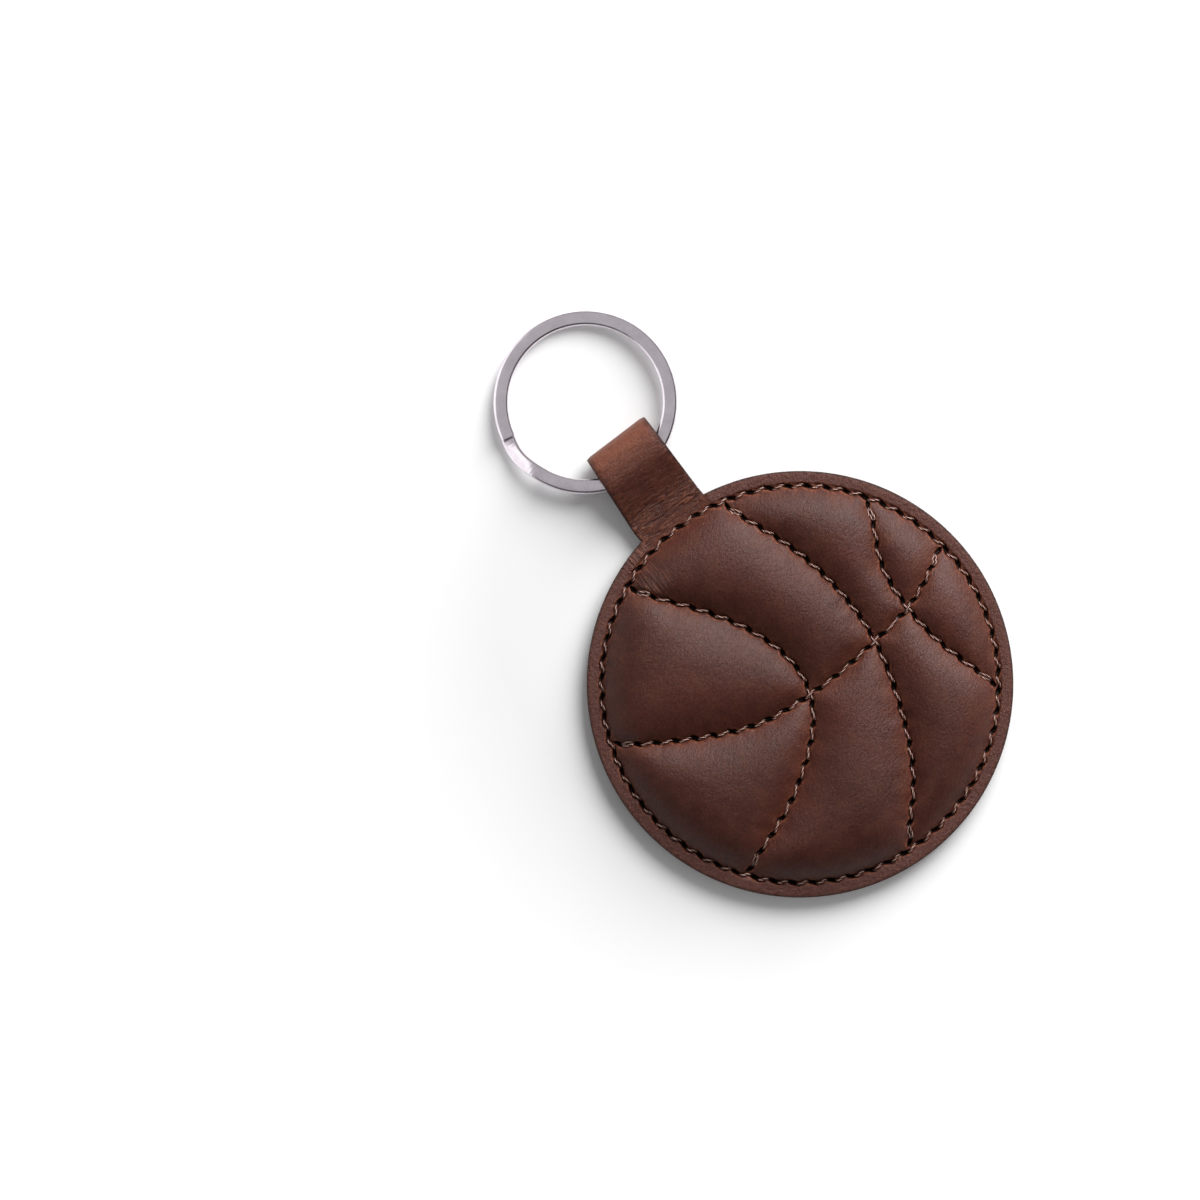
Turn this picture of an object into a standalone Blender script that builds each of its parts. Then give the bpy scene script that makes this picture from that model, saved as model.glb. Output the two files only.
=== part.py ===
"""A round quilted leather key fob with basketball seams, a folded leather tab and a split ring.

Metres, +Z up. The back cover lies on z = 0 with its centre at the origin, and the tab and the
ring lie along +Y. The disc's pieces are fixed together, the tab bends where it leaves the disc,
and the split ring swings in the tab.
"""

from math import asin, atan2, cos, hypot, pi, radians, sin, sqrt

import bmesh
import bpy
import numpy as np
from mathutils.geometry import delaunay_2d_cdt

MM = 0.001

# Clearances
GAP = 0.3 * MM  # between layers that touch
THREAD_GAP = 0.13 * MM  # between a thread and what it lies on

# Disc
DISC_RADIUS = 37.5 * MM
LEATHER = 1.3 * MM
LINING = 0.6 * MM
STITCH_INSET = 2.65 * MM  # disc's edge to the rim's stitch line
SHOULDER = 5.35 * MM  # rim's stitch line to where the seams run level
PADDING_INSET = 3.85 * MM  # rim's stitch line to the padding's edge
SQUEEZED_PADDING = 0.6 * MM  # foam left under a seam
CROWN = 3.0 * MM  # rise of the largest panel above its seams
CROWN_POWER = 0.55  # lower makes the panels plumper
LINING_STEP = 1.0 * MM  # width of the lining's rise over the seams' bobbin threads

# Threads
STITCH_PITCH = 3.4 * MM
TOP_THREAD = 0.55 * MM
BOBBIN_THREAD = 0.4 * MM
RIM_BOBBIN_THREAD = 0.5 * MM
SEAM_LIFT = 0.72 * MM  # thread's centre above the bottom of its channel
RIM_LIFT = 0.6 * MM
SEAM_END_GAP = 0.9 * MM  # rim's stitch line to a seam thread's end
GROOVE_WIDTH = 1.0 * MM  # round the back cover, for the rim's bobbin thread
GROOVE_DEPTH = 0.8 * MM

# Tab
TAB_FREE_LENGTH = 16.6 * MM
TAB_ROOT_WIDTH = 14.0 * MM
TAB_FOLD_WIDTH = 12.2 * MM
TAIL_LENGTH = 11.2 * MM
SWING_CLEARANCE = 0.07 * MM  # round the path that the ring's wire sweeps in the fold
RING_SET_BACK = 5.85 * MM  # fold's tip to the line that the ring swings about
ROOT_STRAIGHT = 1.3 * MM  # level stretch of both layers next to the disc

# Split ring
RING_DIAMETER = 32.0 * MM
WIRE_WIDTH = 2.3 * MM
WIRE_THICKNESS = 1.1 * MM
WIRE_CORNER = 0.35 * MM
TURN_GAP = 0.42 * MM
CUT_ANGLE = radians(170)  # where the upper turn's cut end lies
CLIMB_ANGLE = radians(29)  # turn in which the wire drops to the lower level
RING_STEP = radians(6)

# Fineness of the round and quilted shapes
DISC_SIDES = 64
PADDING_SIDES = 56
FLANK = 1.25 * MM  # channel's half width at the height where its sides round over
GRID_STEP = 3.5 * MM

# Places shared by crossing seams, as shares of the disc's radius
LEFT_CROSSING_SHARE = (0.007, -0.064)
CENTRE_CROSSING_SHARE = (0.400, -0.049)
RIGHT_CROSSING_SHARE = (0.616, -0.020)

# Each seam's first and last points are moved onto the rim's stitch line, and the ones next to
# them onto the padding's edge.
SEAM_SHARES = {
    "centre": (
        (0.224, 0.904),
        (0.260, 0.784),
        (0.315, 0.648),
        (0.403, 0.307),
        CENTRE_CROSSING_SHARE,
        (0.293, -0.403),
        (0.112, -0.723),
        (0.015, -0.827),
        (-0.060, -0.926),
    ),
    "left": (
        (-0.370, 0.850),
        (-0.316, 0.764),
        (-0.203, 0.616),
        (-0.005, 0.269),
        (0.032, 0.075),
        LEFT_CROSSING_SHARE,
        (-0.045, -0.157),
        (-0.173, -0.283),
        (-0.328, -0.387),
        (-0.493, -0.464),
        (-0.645, -0.517),
        (-0.740, -0.556),
    ),
    "right": (
        (0.781, 0.515),
        (0.727, 0.393),
        (0.651, 0.240),
        RIGHT_CROSSING_SHARE,
        (0.635, -0.219),
        (0.696, -0.447),
        (0.733, -0.579),
    ),
    "cross": (
        (-0.873, 0.316),
        (-0.787, 0.249),
        (-0.549, 0.099),
        (-0.221, -0.040),
        LEFT_CROSSING_SHARE,
        (0.136, -0.069),
        CENTRE_CROSSING_SHARE,
        RIGHT_CROSSING_SHARE,
        (0.824, 0.067),
        (0.921, 0.120),
    ),
}
CROSSING_SHARES = (LEFT_CROSSING_SHARE, CENTRE_CROSSING_SHARE, RIGHT_CROSSING_SHARE)

# Heights and radii that follow from the sizes above
LINING_BOTTOM = LEATHER + GAP
LINING_TOP = LINING_BOTTOM + LINING
FLANGE_BOTTOM = LINING_TOP + GAP
FLANGE_TOP = FLANGE_BOTTOM + LEATHER
RAISED_BOTTOM = LEATHER + 2 * BOBBIN_THREAD + 3 * THREAD_GAP
RAISED_TOP = RAISED_BOTTOM + LINING
PADDING_BOTTOM = RAISED_TOP + GAP
CHANNEL_TOP = PADDING_BOTTOM + SQUEEZED_PADDING + GAP + LEATHER
STITCH_RADIUS = DISC_RADIUS - STITCH_INSET
PADDING_RADIUS = STITCH_RADIUS - PADDING_INSET
LINING_RADIUS = DISC_RADIUS - GAP

# The tab bends about a line in the middle of its root, which is rounded about that line.
ROOT_RADIUS = LEATHER + GAP / 2
FLEX_Y = DISC_RADIUS + GAP + ROOT_RADIUS
FLEX_Z = FLANGE_BOTTOM - GAP / 2
TAB_TIP = DISC_RADIUS + TAB_FREE_LENGTH

# The ring swings about a line halfway into the bow of its wire across the tab.
WIRE_RADIUS = (RING_DIAMETER - WIRE_WIDTH) / 2
RING_HEIGHT = 2 * WIRE_THICKNESS + TURN_GAP
TAB_WIDTH_AT_RING = (TAB_ROOT_WIDTH + TAB_FOLD_WIDTH) / 2
WIRE_SET = sqrt(WIRE_RADIUS**2 - (TAB_WIDTH_AT_RING / 2) ** 2)  # ring's centre to the wire at the tab's edge
SWING_ARM = (WIRE_RADIUS + WIRE_SET) / 2
WIRE_REACH = (WIRE_RADIUS - WIRE_SET) / 2 + WIRE_WIDTH / 2 * WIRE_RADIUS / WIRE_SET
SWEPT_RADIUS = hypot(WIRE_REACH - WIRE_CORNER, RING_HEIGHT / 2 - WIRE_CORNER) + WIRE_CORNER
FOLD_RADIUS = SWEPT_RADIUS + SWING_CLEARANCE
SWING_Y = TAB_TIP - RING_SET_BACK
SWING_Z = LEATHER + FOLD_RADIUS
RING_SPAN = SWING_ARM + RING_DIAMETER / 2
RING_TILT = asin(SWING_Z / hypot(RING_SPAN, RING_HEIGHT / 2)) - atan2(RING_HEIGHT / 2, RING_SPAN)


def new_collection(name):
    collection = bpy.data.collections.new(name)
    bpy.context.scene.collection.children.link(collection)
    return collection


for leftover in list(bpy.data.objects):
    bpy.data.objects.remove(leftover)
PARTS = new_collection("basketball_keychain")
GUIDES = new_collection("guides")


def new_material(name, colour, roughness, metallic=0.0):
    made = bpy.data.materials.new(name)
    made.use_nodes = True
    shader = made.node_tree.nodes["Principled BSDF"]
    shader.inputs["Base Color"].default_value = (*colour, 1)
    shader.inputs["Roughness"].default_value = roughness
    shader.inputs["Metallic"].default_value = metallic
    return made


def add_object(name, data, surface, collection=PARTS):
    """Links an object with its material, shaded smooth but for its sharp edges."""
    made = bpy.data.objects.new(name, data)
    if surface:
        data.materials.append(surface)
    if isinstance(data, bpy.types.Mesh):
        data.shade_smooth()
        data.set_sharp_from_angle(angle=radians(40))
    collection.objects.link(made)
    return made


def add_bmesh(name, shape, surface, collection=PARTS):
    bmesh.ops.recalc_face_normals(shape, faces=shape.faces)
    mesh = bpy.data.meshes.new(name)
    shape.to_mesh(mesh)
    shape.free()
    return add_object(name, mesh, surface, collection)


def make_guide(guide):
    guide.hide_render = True
    guide.display_type = "WIRE"
    return guide


def add_empty(name, place, parent=None):
    made = bpy.data.objects.new(name, None)
    made.location = place
    made.parent = parent
    PARTS.objects.link(made)
    return made


def add_turned(name, profile, surface):
    """A round piece from its profile, given as (radius, height) down its outer side."""
    shape = bmesh.new()
    corners = [shape.verts.new((radius, 0, height)) for radius, height in profile]
    for corner, following in zip(corners, corners[1:]):
        shape.edges.new((corner, following))
    made = add_bmesh(name, shape, surface)
    screw = made.modifiers.new("turn", "SCREW")
    screw.steps = screw.render_steps = DISC_SIDES
    screw.use_merge_vertices = True
    screw.merge_threshold = THREAD_GAP / DISC_SIDES
    return made


def add_box(name, low, high, surface=None, collection=PARTS):
    """A box between two corners, with its origin in its middle."""
    low, high = np.array(low), np.array(high)
    shape = bmesh.new()
    bmesh.ops.create_cube(shape, size=1)
    bmesh.ops.scale(shape, vec=high - low, verts=shape.verts)
    made = add_bmesh(name, shape, surface, collection)
    made.location = (low + high) / 2
    return made


def add_wire(name, points, diameter, surface):
    """A thread or wire along the points, with filled ends."""
    curve = bpy.data.curves.new(name, "CURVE")
    curve.dimensions = "3D"
    curve.bevel_depth = diameter / 2
    curve.bevel_resolution = 1
    curve.use_fill_caps = True
    spline = curve.splines.new("POLY")
    spline.points.add(len(points) - 1)
    for point, place in zip(spline.points, points):
        point.co = (*place, 1)
    return add_object(name, curve, surface)


def add_ring_thread(name, diameter, height, surface):
    bpy.ops.mesh.primitive_torus_add(
        major_radius=STITCH_RADIUS,
        minor_radius=diameter / 2,
        major_segments=DISC_SIDES,
        minor_segments=6,
        location=(0, 0, height),
    )
    made = bpy.context.object
    for collection in list(made.users_collection):
        collection.objects.unlink(made)
    mesh = made.data
    bpy.data.objects.remove(made)
    made = add_object(name, mesh, surface)
    made.location.z = height
    return made


def smoothed(share):
    """0 to 1 with level ends."""
    share = min(max(share, 0), 1)
    return share * share * (3 - 2 * share)


def curve_through(points, step):
    """Points about a step apart on a natural cubic curve through the given ones, which it keeps."""
    points = np.array(points)
    lengths = np.linalg.norm(np.diff(points, axis=0), axis=1)
    system = np.eye(len(points))
    bends = np.zeros(points.shape)
    for i in range(1, len(points) - 1):
        before, after = lengths[i - 1], lengths[i]
        system[i, i - 1 : i + 2] = before / 6, (before + after) / 3, after / 6
        bends[i] = (points[i + 1] - points[i]) / after - (points[i] - points[i - 1]) / before
    bends = np.linalg.solve(system, bends)
    route = [points[0]]
    for i, length in enumerate(lengths):
        count = max(1, round(length / step))
        for n in range(1, count + 1):
            far = n / count
            near = 1 - far
            bend = (near**3 - near) * bends[i] + (far**3 - far) * bends[i + 1]
            route.append(near * points[i] + far * points[i + 1] + bend * length**2 / 6)
    return np.array(route)


def seam_route(shares):
    """A seam's points from one side of the rim's stitch line to the other."""
    places = np.array(shares) * DISC_RADIUS
    landings = {0: STITCH_RADIUS, 1: PADDING_RADIUS, -2: PADDING_RADIUS, -1: STITCH_RADIUS}
    for index, radius in landings.items():
        places[index] *= radius / hypot(*places[index])
    return curve_through(places, STITCH_PITCH)


def ring_through(radius, count, landings):
    """A ring of points, of which those near the landings give way to these."""
    angles = np.arange(count) * 2 * pi / count
    ring = [(radius * cos(angle), radius * sin(angle)) for angle in angles]
    spacing = pi * radius / count
    for landing in landings:
        ring = [place for place in ring if hypot(*(place - landing)) > spacing]
    ring = np.array([*ring, *landings])
    return ring[np.argsort(np.arctan2(ring[:, 1], ring[:, 0]))]


def with_flanks(landings):
    """The places where seams meet the padding's edge, each between its channel's two flanks."""
    for x, y in landings:
        radius = hypot(x, y)
        for turn in (-FLANK / radius, 0, FLANK / radius):
            yield np.array((x * cos(turn) - y * sin(turn), x * sin(turn) + y * cos(turn)))


def at_radius(places, radius):
    return [place for place in places if abs(hypot(*place) - radius) < THREAD_GAP / 2]


class Quilt:
    """The cover's outer surface: a net of triangles along the seams, raised between them."""

    def __init__(self, seams):
        self.places = []
        self.edges = []
        landings = np.concatenate(list(seams.values()))
        self.add_ring(DISC_RADIUS, DISC_SIDES, [])
        self.add_ring(STITCH_RADIUS, DISC_SIDES, at_radius(landings, STITCH_RADIUS))
        first = len(self.edges)
        padding_landings = with_flanks(at_radius(landings, PADDING_RADIUS))
        self.add_ring(PADDING_RADIUS, PADDING_SIDES, list(padding_landings))
        self.padding_edges = range(first, len(self.edges))
        for route in seams.values():
            self.add_line(route)
        for route in seams.values():
            self.add_flanks(route)
        self.add_loose(ring_through(STITCH_RADIUS - FLANK, DISC_SIDES, []), FLANK * 0.8)
        self.add_loose(self.grid(), GRID_STEP * 0.6)
        found = delaunay_2d_cdt(self.places, self.edges, [], 0, THREAD_GAP / DISC_SIDES)
        self.places = np.array(found[0])
        self.triangles = found[2]
        self.heights = self.raised(found[1], found[4])

    def add_line(self, line):
        first = len(self.places)
        self.places.extend(line)
        self.edges.extend((first + i, first + i + 1) for i in range(len(line) - 1))

    def add_ring(self, radius, count, landings):
        first = len(self.places)
        self.add_line(ring_through(radius, count, landings))
        self.edges.append((len(self.places) - 1, first))

    def add_loose(self, candidates, spacing):
        """Adds the candidates that stand at least a spacing from every point there is."""
        for candidate in candidates:
            if np.linalg.norm(np.array(self.places) - candidate, axis=1).min() > spacing:
                self.places.append(candidate)

    def add_flanks(self, route):
        """Adds the points where a channel's sides round over into the panels."""
        along = route[2:] - route[:-2]
        across = np.column_stack((-along[:, 1], along[:, 0]))
        across *= FLANK / np.linalg.norm(across, axis=1)[:, None]
        for side in (1, -1):
            self.add_loose(route[1:-1] + side * across, FLANK * 0.8)

    def grid(self):
        """Rows of points over the padding, every second row shifted by half a step."""
        row_step = GRID_STEP * sqrt(3) / 2
        rows = int(PADDING_RADIUS / row_step)
        columns = int(PADDING_RADIUS / GRID_STEP) + 1
        for row in range(-rows, rows + 1):
            for column in range(-columns, columns + 1):
                place = np.array(((column + row % 2 / 2) * GRID_STEP, row * row_step))
                if hypot(*place) < PADDING_RADIUS:
                    yield place

    def raised(self, found_edges, found_sources):
        """Heights of the net: a membrane under even pressure, held down by every line of stitches."""
        size = len(self.places)
        held = np.linalg.norm(self.places, axis=1) > STITCH_RADIUS - THREAD_GAP
        lines = set(range(len(self.edges))).difference(self.padding_edges)
        for corners, sources in zip(found_edges, found_sources):
            if not lines.isdisjoint(sources):
                held[list(corners)] = True
        stiffness = np.zeros((size, size))
        load = np.zeros(size)
        for corners in self.triangles:
            corners = np.array(corners)
            sides = self.places[np.roll(corners, 1)] - self.places[np.roll(corners, -1)]
            area = abs(sides[0, 0] * sides[1, 1] - sides[0, 1] * sides[1, 0]) / 2
            stiffness[np.ix_(corners, corners)] += sides @ sides.T / (4 * area)
            load[corners] += area / 3
        free = np.flatnonzero(~held)
        rise = np.zeros(size)
        rise[free] = np.linalg.solve(stiffness[np.ix_(free, free)], load[free])
        rise = CROWN * (rise / rise.max()) ** CROWN_POWER
        return np.array([channel_height(place) for place in self.places]) + rise

    def surface(self, drop=0, radius=DISC_RADIUS):
        """The net lowered by a drop, as far as a radius, in a new bmesh."""
        shape = bmesh.new()
        corners = [
            shape.verts.new((x, y, height - drop))
            for (x, y), height in zip(self.places, self.heights)
        ]
        inside = np.linalg.norm(self.places, axis=1) < radius + THREAD_GAP
        for triangle in self.triangles:
            if inside[list(triangle)].all():
                shape.faces.new([corners[i] for i in triangle])
        loose = [corner for corner in shape.verts if not corner.link_faces]
        bmesh.ops.delete(shape, geom=loose, context="VERTS")
        return shape


def channel_height(place):
    """Height of the cover's outer side at a seam, or on the flange round the seams."""
    share = smoothed((STITCH_RADIUS - hypot(*place)) / SHOULDER)
    return FLANGE_TOP + (CHANNEL_TOP - FLANGE_TOP) * share


def at_crossing(place):
    crossings = np.array(CROSSING_SHARES) * DISC_RADIUS
    return np.linalg.norm(crossings - place, axis=1).min() < THREAD_GAP


def toward(start, end, distance):
    return start + (end - start) * distance / np.linalg.norm(end - start)


def top_thread_points(route, hop):
    """A seam's thread in its channel, which may hop over the threads that it crosses."""
    places = [np.array((*place, channel_height(place) + SEAM_LIFT)) for place in route]
    for place in places:
        if hop and at_crossing(place[:2]):
            place[2] += TOP_THREAD + THREAD_GAP
    places[0] = toward(places[0], places[1], SEAM_END_GAP)
    places[-1] = toward(places[-1], places[-2], SEAM_END_GAP)
    return places


def bobbin_thread_points(route, duck):
    """A seam's bobbin thread under the lining, which may duck under those that it crosses."""
    level = RAISED_BOTTOM - THREAD_GAP - BOBBIN_THREAD / 2
    places = [np.array((*place, level)) for place in route[1:-1]]
    for place in places:
        if duck and at_crossing(place[:2]):
            place[2] -= BOBBIN_THREAD + THREAD_GAP
    places[0] = toward(places[0], places[1], LINING_STEP)
    places[-1] = toward(places[-1], places[-2], LINING_STEP)
    return places


def build_back_cover(surface):
    inner = STITCH_RADIUS - GROOVE_WIDTH / 2
    outer = STITCH_RADIUS + GROOVE_WIDTH / 2
    profile = (
        (0, LEATHER),
        (DISC_RADIUS, LEATHER),
        (DISC_RADIUS, 0),
        (outer, 0),
        (outer, GROOVE_DEPTH),
        (inner, GROOVE_DEPTH),
        (inner, 0),
        (0, 0),
    )
    add_turned("back_cover", profile, surface)


def build_lining(surface):
    """A thin backing that steps up over the seams' bobbin threads and is notched for the tab's tail."""
    step_top = PADDING_RADIUS + LINING_STEP
    step_bottom = step_top - LINING / 2
    profile = (
        (0, RAISED_TOP),
        (step_top, RAISED_TOP),
        (step_top + LINING_STEP, LINING_TOP),
        (LINING_RADIUS, LINING_TOP),
        (LINING_RADIUS, LINING_BOTTOM),
        (step_bottom + LINING_STEP, LINING_BOTTOM),
        (step_bottom, RAISED_BOTTOM),
        (0, RAISED_BOTTOM),
    )
    lining = add_turned("lining", profile, surface)
    half_width = TAB_ROOT_WIDTH / 2 + GAP
    notch_start = sqrt(step_bottom**2 - half_width**2) - GAP
    notch = add_box(
        "lining_notch",
        (-half_width, notch_start, LINING_BOTTOM - GAP),
        (half_width, DISC_RADIUS, RAISED_TOP + GAP),
        collection=GUIDES,
    )
    cut = lining.modifiers.new("notch", "BOOLEAN")
    cut.operation = "DIFFERENCE"
    cut.object = make_guide(notch)


def build_padding(quilt, surface):
    """A foam sheet, squeezed under every seam, that fills the cover's panels."""
    shape = quilt.surface(LEATHER + GAP, PADDING_RADIUS)
    rim = [edge for edge in shape.edges if edge.is_boundary]
    wall = bmesh.ops.extrude_edge_only(shape, edges=rim)["geom"]
    for corner in wall:
        if isinstance(corner, bmesh.types.BMVert):
            corner.co.z = PADDING_BOTTOM
    bmesh.ops.holes_fill(shape, edges=[edge for edge in shape.edges if edge.is_boundary])
    add_bmesh("padding", shape, surface)


def build_front_cover(quilt, surface):
    """The quilted leather, as thick under its channels as on its flange."""
    shape = quilt.surface()
    lower = bmesh.ops.extrude_face_region(shape, geom=shape.faces[:], use_keep_orig=True)["geom"]
    corners = [corner for corner in lower if isinstance(corner, bmesh.types.BMVert)]
    bmesh.ops.translate(shape, vec=(0, 0, -LEATHER), verts=corners)
    add_bmesh("front_cover", shape, surface)


def build_threads(seams, surface):
    add_ring_thread("rim_thread", TOP_THREAD, FLANGE_TOP + RIM_LIFT, surface)
    bobbin_height = GROOVE_DEPTH - THREAD_GAP - RIM_BOBBIN_THREAD / 2
    add_ring_thread("rim_bobbin_thread", RIM_BOBBIN_THREAD, bobbin_height, surface)
    for name, route in seams.items():
        crosses = name == "cross"
        top = top_thread_points(route, crosses)
        add_wire(f"{name}_seam_thread", top, TOP_THREAD, surface)
        bobbin = bobbin_thread_points(route, crosses)
        add_wire(f"{name}_seam_bobbin_thread", bobbin, BOBBIN_THREAD, surface)


def build_tail(surface):
    """The thinned end of the tab's under layer, sewn between the covers."""
    half_width = TAB_ROOT_WIDTH / 2
    end = DISC_RADIUS - GAP
    low = (-half_width, end - TAIL_LENGTH, LINING_BOTTOM)
    add_box("tab_tail", low, (half_width, end, LINING_TOP), surface)


def sloped(start, end, steps):
    """Points from start to end that leave and arrive level."""
    for n in range(steps + 1):
        share = n / steps
        yield (
            start[0] + (end[0] - start[0]) * share,
            start[1] + (end[1] - start[1]) * smoothed(share),
        )


def arc(centre, radius, start, end, steps):
    for n in range(steps + 1):
        angle = start + (end - start) * n / steps
        yield centre[0] + radius * cos(angle), centre[1] + radius * sin(angle)


def tab_outline():
    """The folded strip's side view round the line that it bends about, as (y, z) points."""
    root = LEATHER / 2 + GAP / 2
    floor = LEATHER / 2 - FLEX_Z
    fold_radius = FOLD_RADIUS + LEATHER / 2
    fold = (TAB_TIP - FOLD_RADIUS - LEATHER - FLEX_Y, floor + fold_radius)
    slope_end = SWING_Y - FLEX_Y - FOLD_RADIUS * 0.8
    middle = [(0, root)]
    middle.extend(sloped((ROOT_STRAIGHT, root), (slope_end, fold[1] + fold_radius), 8))
    middle.extend(arc(fold, fold_radius, pi / 2, -pi / 2, 14))
    middle.extend(sloped((slope_end, floor), (ROOT_STRAIGHT, -root), 5))
    middle.append((0, -root))
    middle = np.array(middle)
    along = np.gradient(middle, axis=0)
    along[0] = along[1] = (1, 0)
    along[-1] = along[-2] = (-1, 0)
    out = np.column_stack((-along[:, 1], along[:, 0]))
    out *= LEATHER / 2 / np.linalg.norm(out, axis=1)[:, None]
    lip = asin(GAP / 2 / ROOT_RADIUS)
    upper_nose = list(arc((0, 0), ROOT_RADIUS, pi - lip, pi / 2, 5))
    lower_nose = list(arc((0, 0), ROOT_RADIUS, -pi / 2, -pi + lip, 5))
    outer = middle + out
    inner = middle - out
    return [*upper_nose[:-1], *outer, *lower_nose[1:], *inner[::-1]]


def build_tab(parent, surface):
    """The strip of leather that folds over the split ring, narrower at its fold."""
    shape = bmesh.new()
    corners = [shape.verts.new((TAB_ROOT_WIDTH / 2, y, z)) for y, z in tab_outline()]
    side = shape.faces.new(corners)
    far = bmesh.ops.extrude_face_region(shape, geom=[side], use_keep_orig=True)["geom"]
    far = [corner for corner in far if isinstance(corner, bmesh.types.BMVert)]
    bmesh.ops.translate(shape, vec=(-TAB_ROOT_WIDTH, 0, 0), verts=far)
    taper = (TAB_FOLD_WIDTH / TAB_ROOT_WIDTH - 1) / (TAB_TIP - FLEX_Y)
    for corner in shape.verts:
        corner.co.x *= 1 + taper * corner.co.y
    add_bmesh("tab_loop", shape, surface).parent = parent


def ring_level(turned):
    """The wire's height above the ring's middle after it has turned by an angle."""
    drop = smoothed((turned - 2 * pi + CLIMB_ANGLE) / CLIMB_ANGLE)
    return (WIRE_THICKNESS + TURN_GAP) * (1 / 2 - drop)


def wire_profile():
    """The flat wire's rounded section, as a closed guide curve."""
    curve = bpy.data.curves.new("wire_profile", "CURVE")
    curve.dimensions = "2D"
    points = []
    for quarter in range(4):
        middle = pi / 4 + quarter * pi / 2
        across = (WIRE_WIDTH / 2 - WIRE_CORNER) * (1 if cos(middle) > 0 else -1)
        up = (WIRE_THICKNESS / 2 - WIRE_CORNER) * (1 if sin(middle) > 0 else -1)
        points.extend(arc((across, up), WIRE_CORNER, middle - pi / 4, middle + pi / 4, 2))
    spline = curve.splines.new("POLY")
    spline.points.add(len(points) - 1)
    spline.use_cyclic_u = True
    for point, (x, y) in zip(spline.points, reversed(points)):
        point.co = (x, y, 0, 1)
    return make_guide(add_object("wire_profile", curve, None, GUIDES))


def build_ring(parent, surface):
    """Two turns of flat wire, one unbroken length with both ends cut square."""
    total = 4 * pi - CLIMB_ANGLE
    steps = round(total / RING_STEP)
    points = []
    for n in range(steps + 1):
        turned = total * n / steps
        angle = CUT_ANGLE - turned
        place = (WIRE_RADIUS * cos(angle), WIRE_RADIUS * sin(angle) + SWING_ARM, ring_level(turned))
        points.append(place)
    ring = add_wire("split_ring", points, 0, surface)
    ring.data.bevel_mode = "OBJECT"
    ring.data.bevel_object = wire_profile()
    ring.data.twist_mode = "Z_UP"
    ring.parent = parent
    points = np.array(points)
    apart = round(pi / RING_STEP)
    least = min(
        np.linalg.norm(points[n + apart :] - points[n], axis=1).min()
        for n in range(len(points) - apart)
    )
    print(f"split_ring: least gap between its turns {(least - WIRE_THICKNESS) / MM:.2f} mm")


def build():
    leather = new_material("dark_brown_leather", (0.075, 0.032, 0.022), 0.55)
    backing = new_material("dark_lining", (0.03, 0.02, 0.016), 0.9)
    foam = new_material("grey_foam", (0.2, 0.2, 0.19), 0.95)
    thread = new_material("brown_thread", (0.16, 0.085, 0.065), 0.6)
    steel = new_material("nickel_steel", (0.62, 0.6, 0.62), 0.22, 1.0)

    seams = {name: seam_route(shares) for name, shares in SEAM_SHARES.items()}
    quilt = Quilt(seams)
    build_back_cover(leather)
    build_lining(backing)
    build_padding(quilt, foam)
    build_front_cover(quilt, leather)
    build_threads(seams, thread)
    build_tail(leather)

    flex_axis = add_empty("tab_flex_axis", (0, FLEX_Y, FLEX_Z))
    build_tab(flex_axis, leather)
    swing_axis = add_empty("ring_swing_axis", (0, SWING_Y - FLEX_Y, SWING_Z - FLEX_Z), flex_axis)
    swing_axis.rotation_euler.x = -RING_TILT
    build_ring(swing_axis, steel)


build()
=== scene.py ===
"""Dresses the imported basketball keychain: quilted leather, sewn threads, foam, lining and split ring.

Shapes are worked out in millimetres and finished_piece() scales them to the frame's metres. The
front leather is cut flat with its tab, swelled over the foam, marked by its stitches and folded.
"""

from math import atan2, cos, hypot, pi, radians, sin, sqrt

import bmesh
import bpy
import numpy as np
from mathutils import Matrix, Vector, noise
from mathutils.bvhtree import BVHTree
from mathutils.geometry import delaunay_2d_cdt
from mathutils.kdtree import KDTree
from numpy.linalg import norm


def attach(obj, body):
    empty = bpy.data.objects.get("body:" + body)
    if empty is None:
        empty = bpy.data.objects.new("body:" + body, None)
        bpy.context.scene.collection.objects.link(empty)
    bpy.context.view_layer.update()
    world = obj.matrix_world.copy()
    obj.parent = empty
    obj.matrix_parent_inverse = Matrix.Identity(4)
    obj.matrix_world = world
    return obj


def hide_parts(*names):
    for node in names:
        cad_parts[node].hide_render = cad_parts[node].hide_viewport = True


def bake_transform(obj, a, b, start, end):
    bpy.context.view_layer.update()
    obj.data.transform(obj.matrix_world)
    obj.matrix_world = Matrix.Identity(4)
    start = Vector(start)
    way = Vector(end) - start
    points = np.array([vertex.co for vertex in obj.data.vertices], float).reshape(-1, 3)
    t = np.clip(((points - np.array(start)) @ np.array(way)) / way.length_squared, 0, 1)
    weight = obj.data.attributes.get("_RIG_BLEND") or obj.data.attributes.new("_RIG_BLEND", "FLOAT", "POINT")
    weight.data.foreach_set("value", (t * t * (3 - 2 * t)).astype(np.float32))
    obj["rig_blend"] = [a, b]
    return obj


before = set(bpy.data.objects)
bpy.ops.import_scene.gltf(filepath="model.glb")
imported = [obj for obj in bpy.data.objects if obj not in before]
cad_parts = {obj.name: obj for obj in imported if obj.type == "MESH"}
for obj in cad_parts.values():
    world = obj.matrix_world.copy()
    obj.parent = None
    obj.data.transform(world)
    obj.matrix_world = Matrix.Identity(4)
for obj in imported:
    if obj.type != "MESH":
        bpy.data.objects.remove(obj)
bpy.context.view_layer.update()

MM = 0.001
scene = bpy.context.scene

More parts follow.
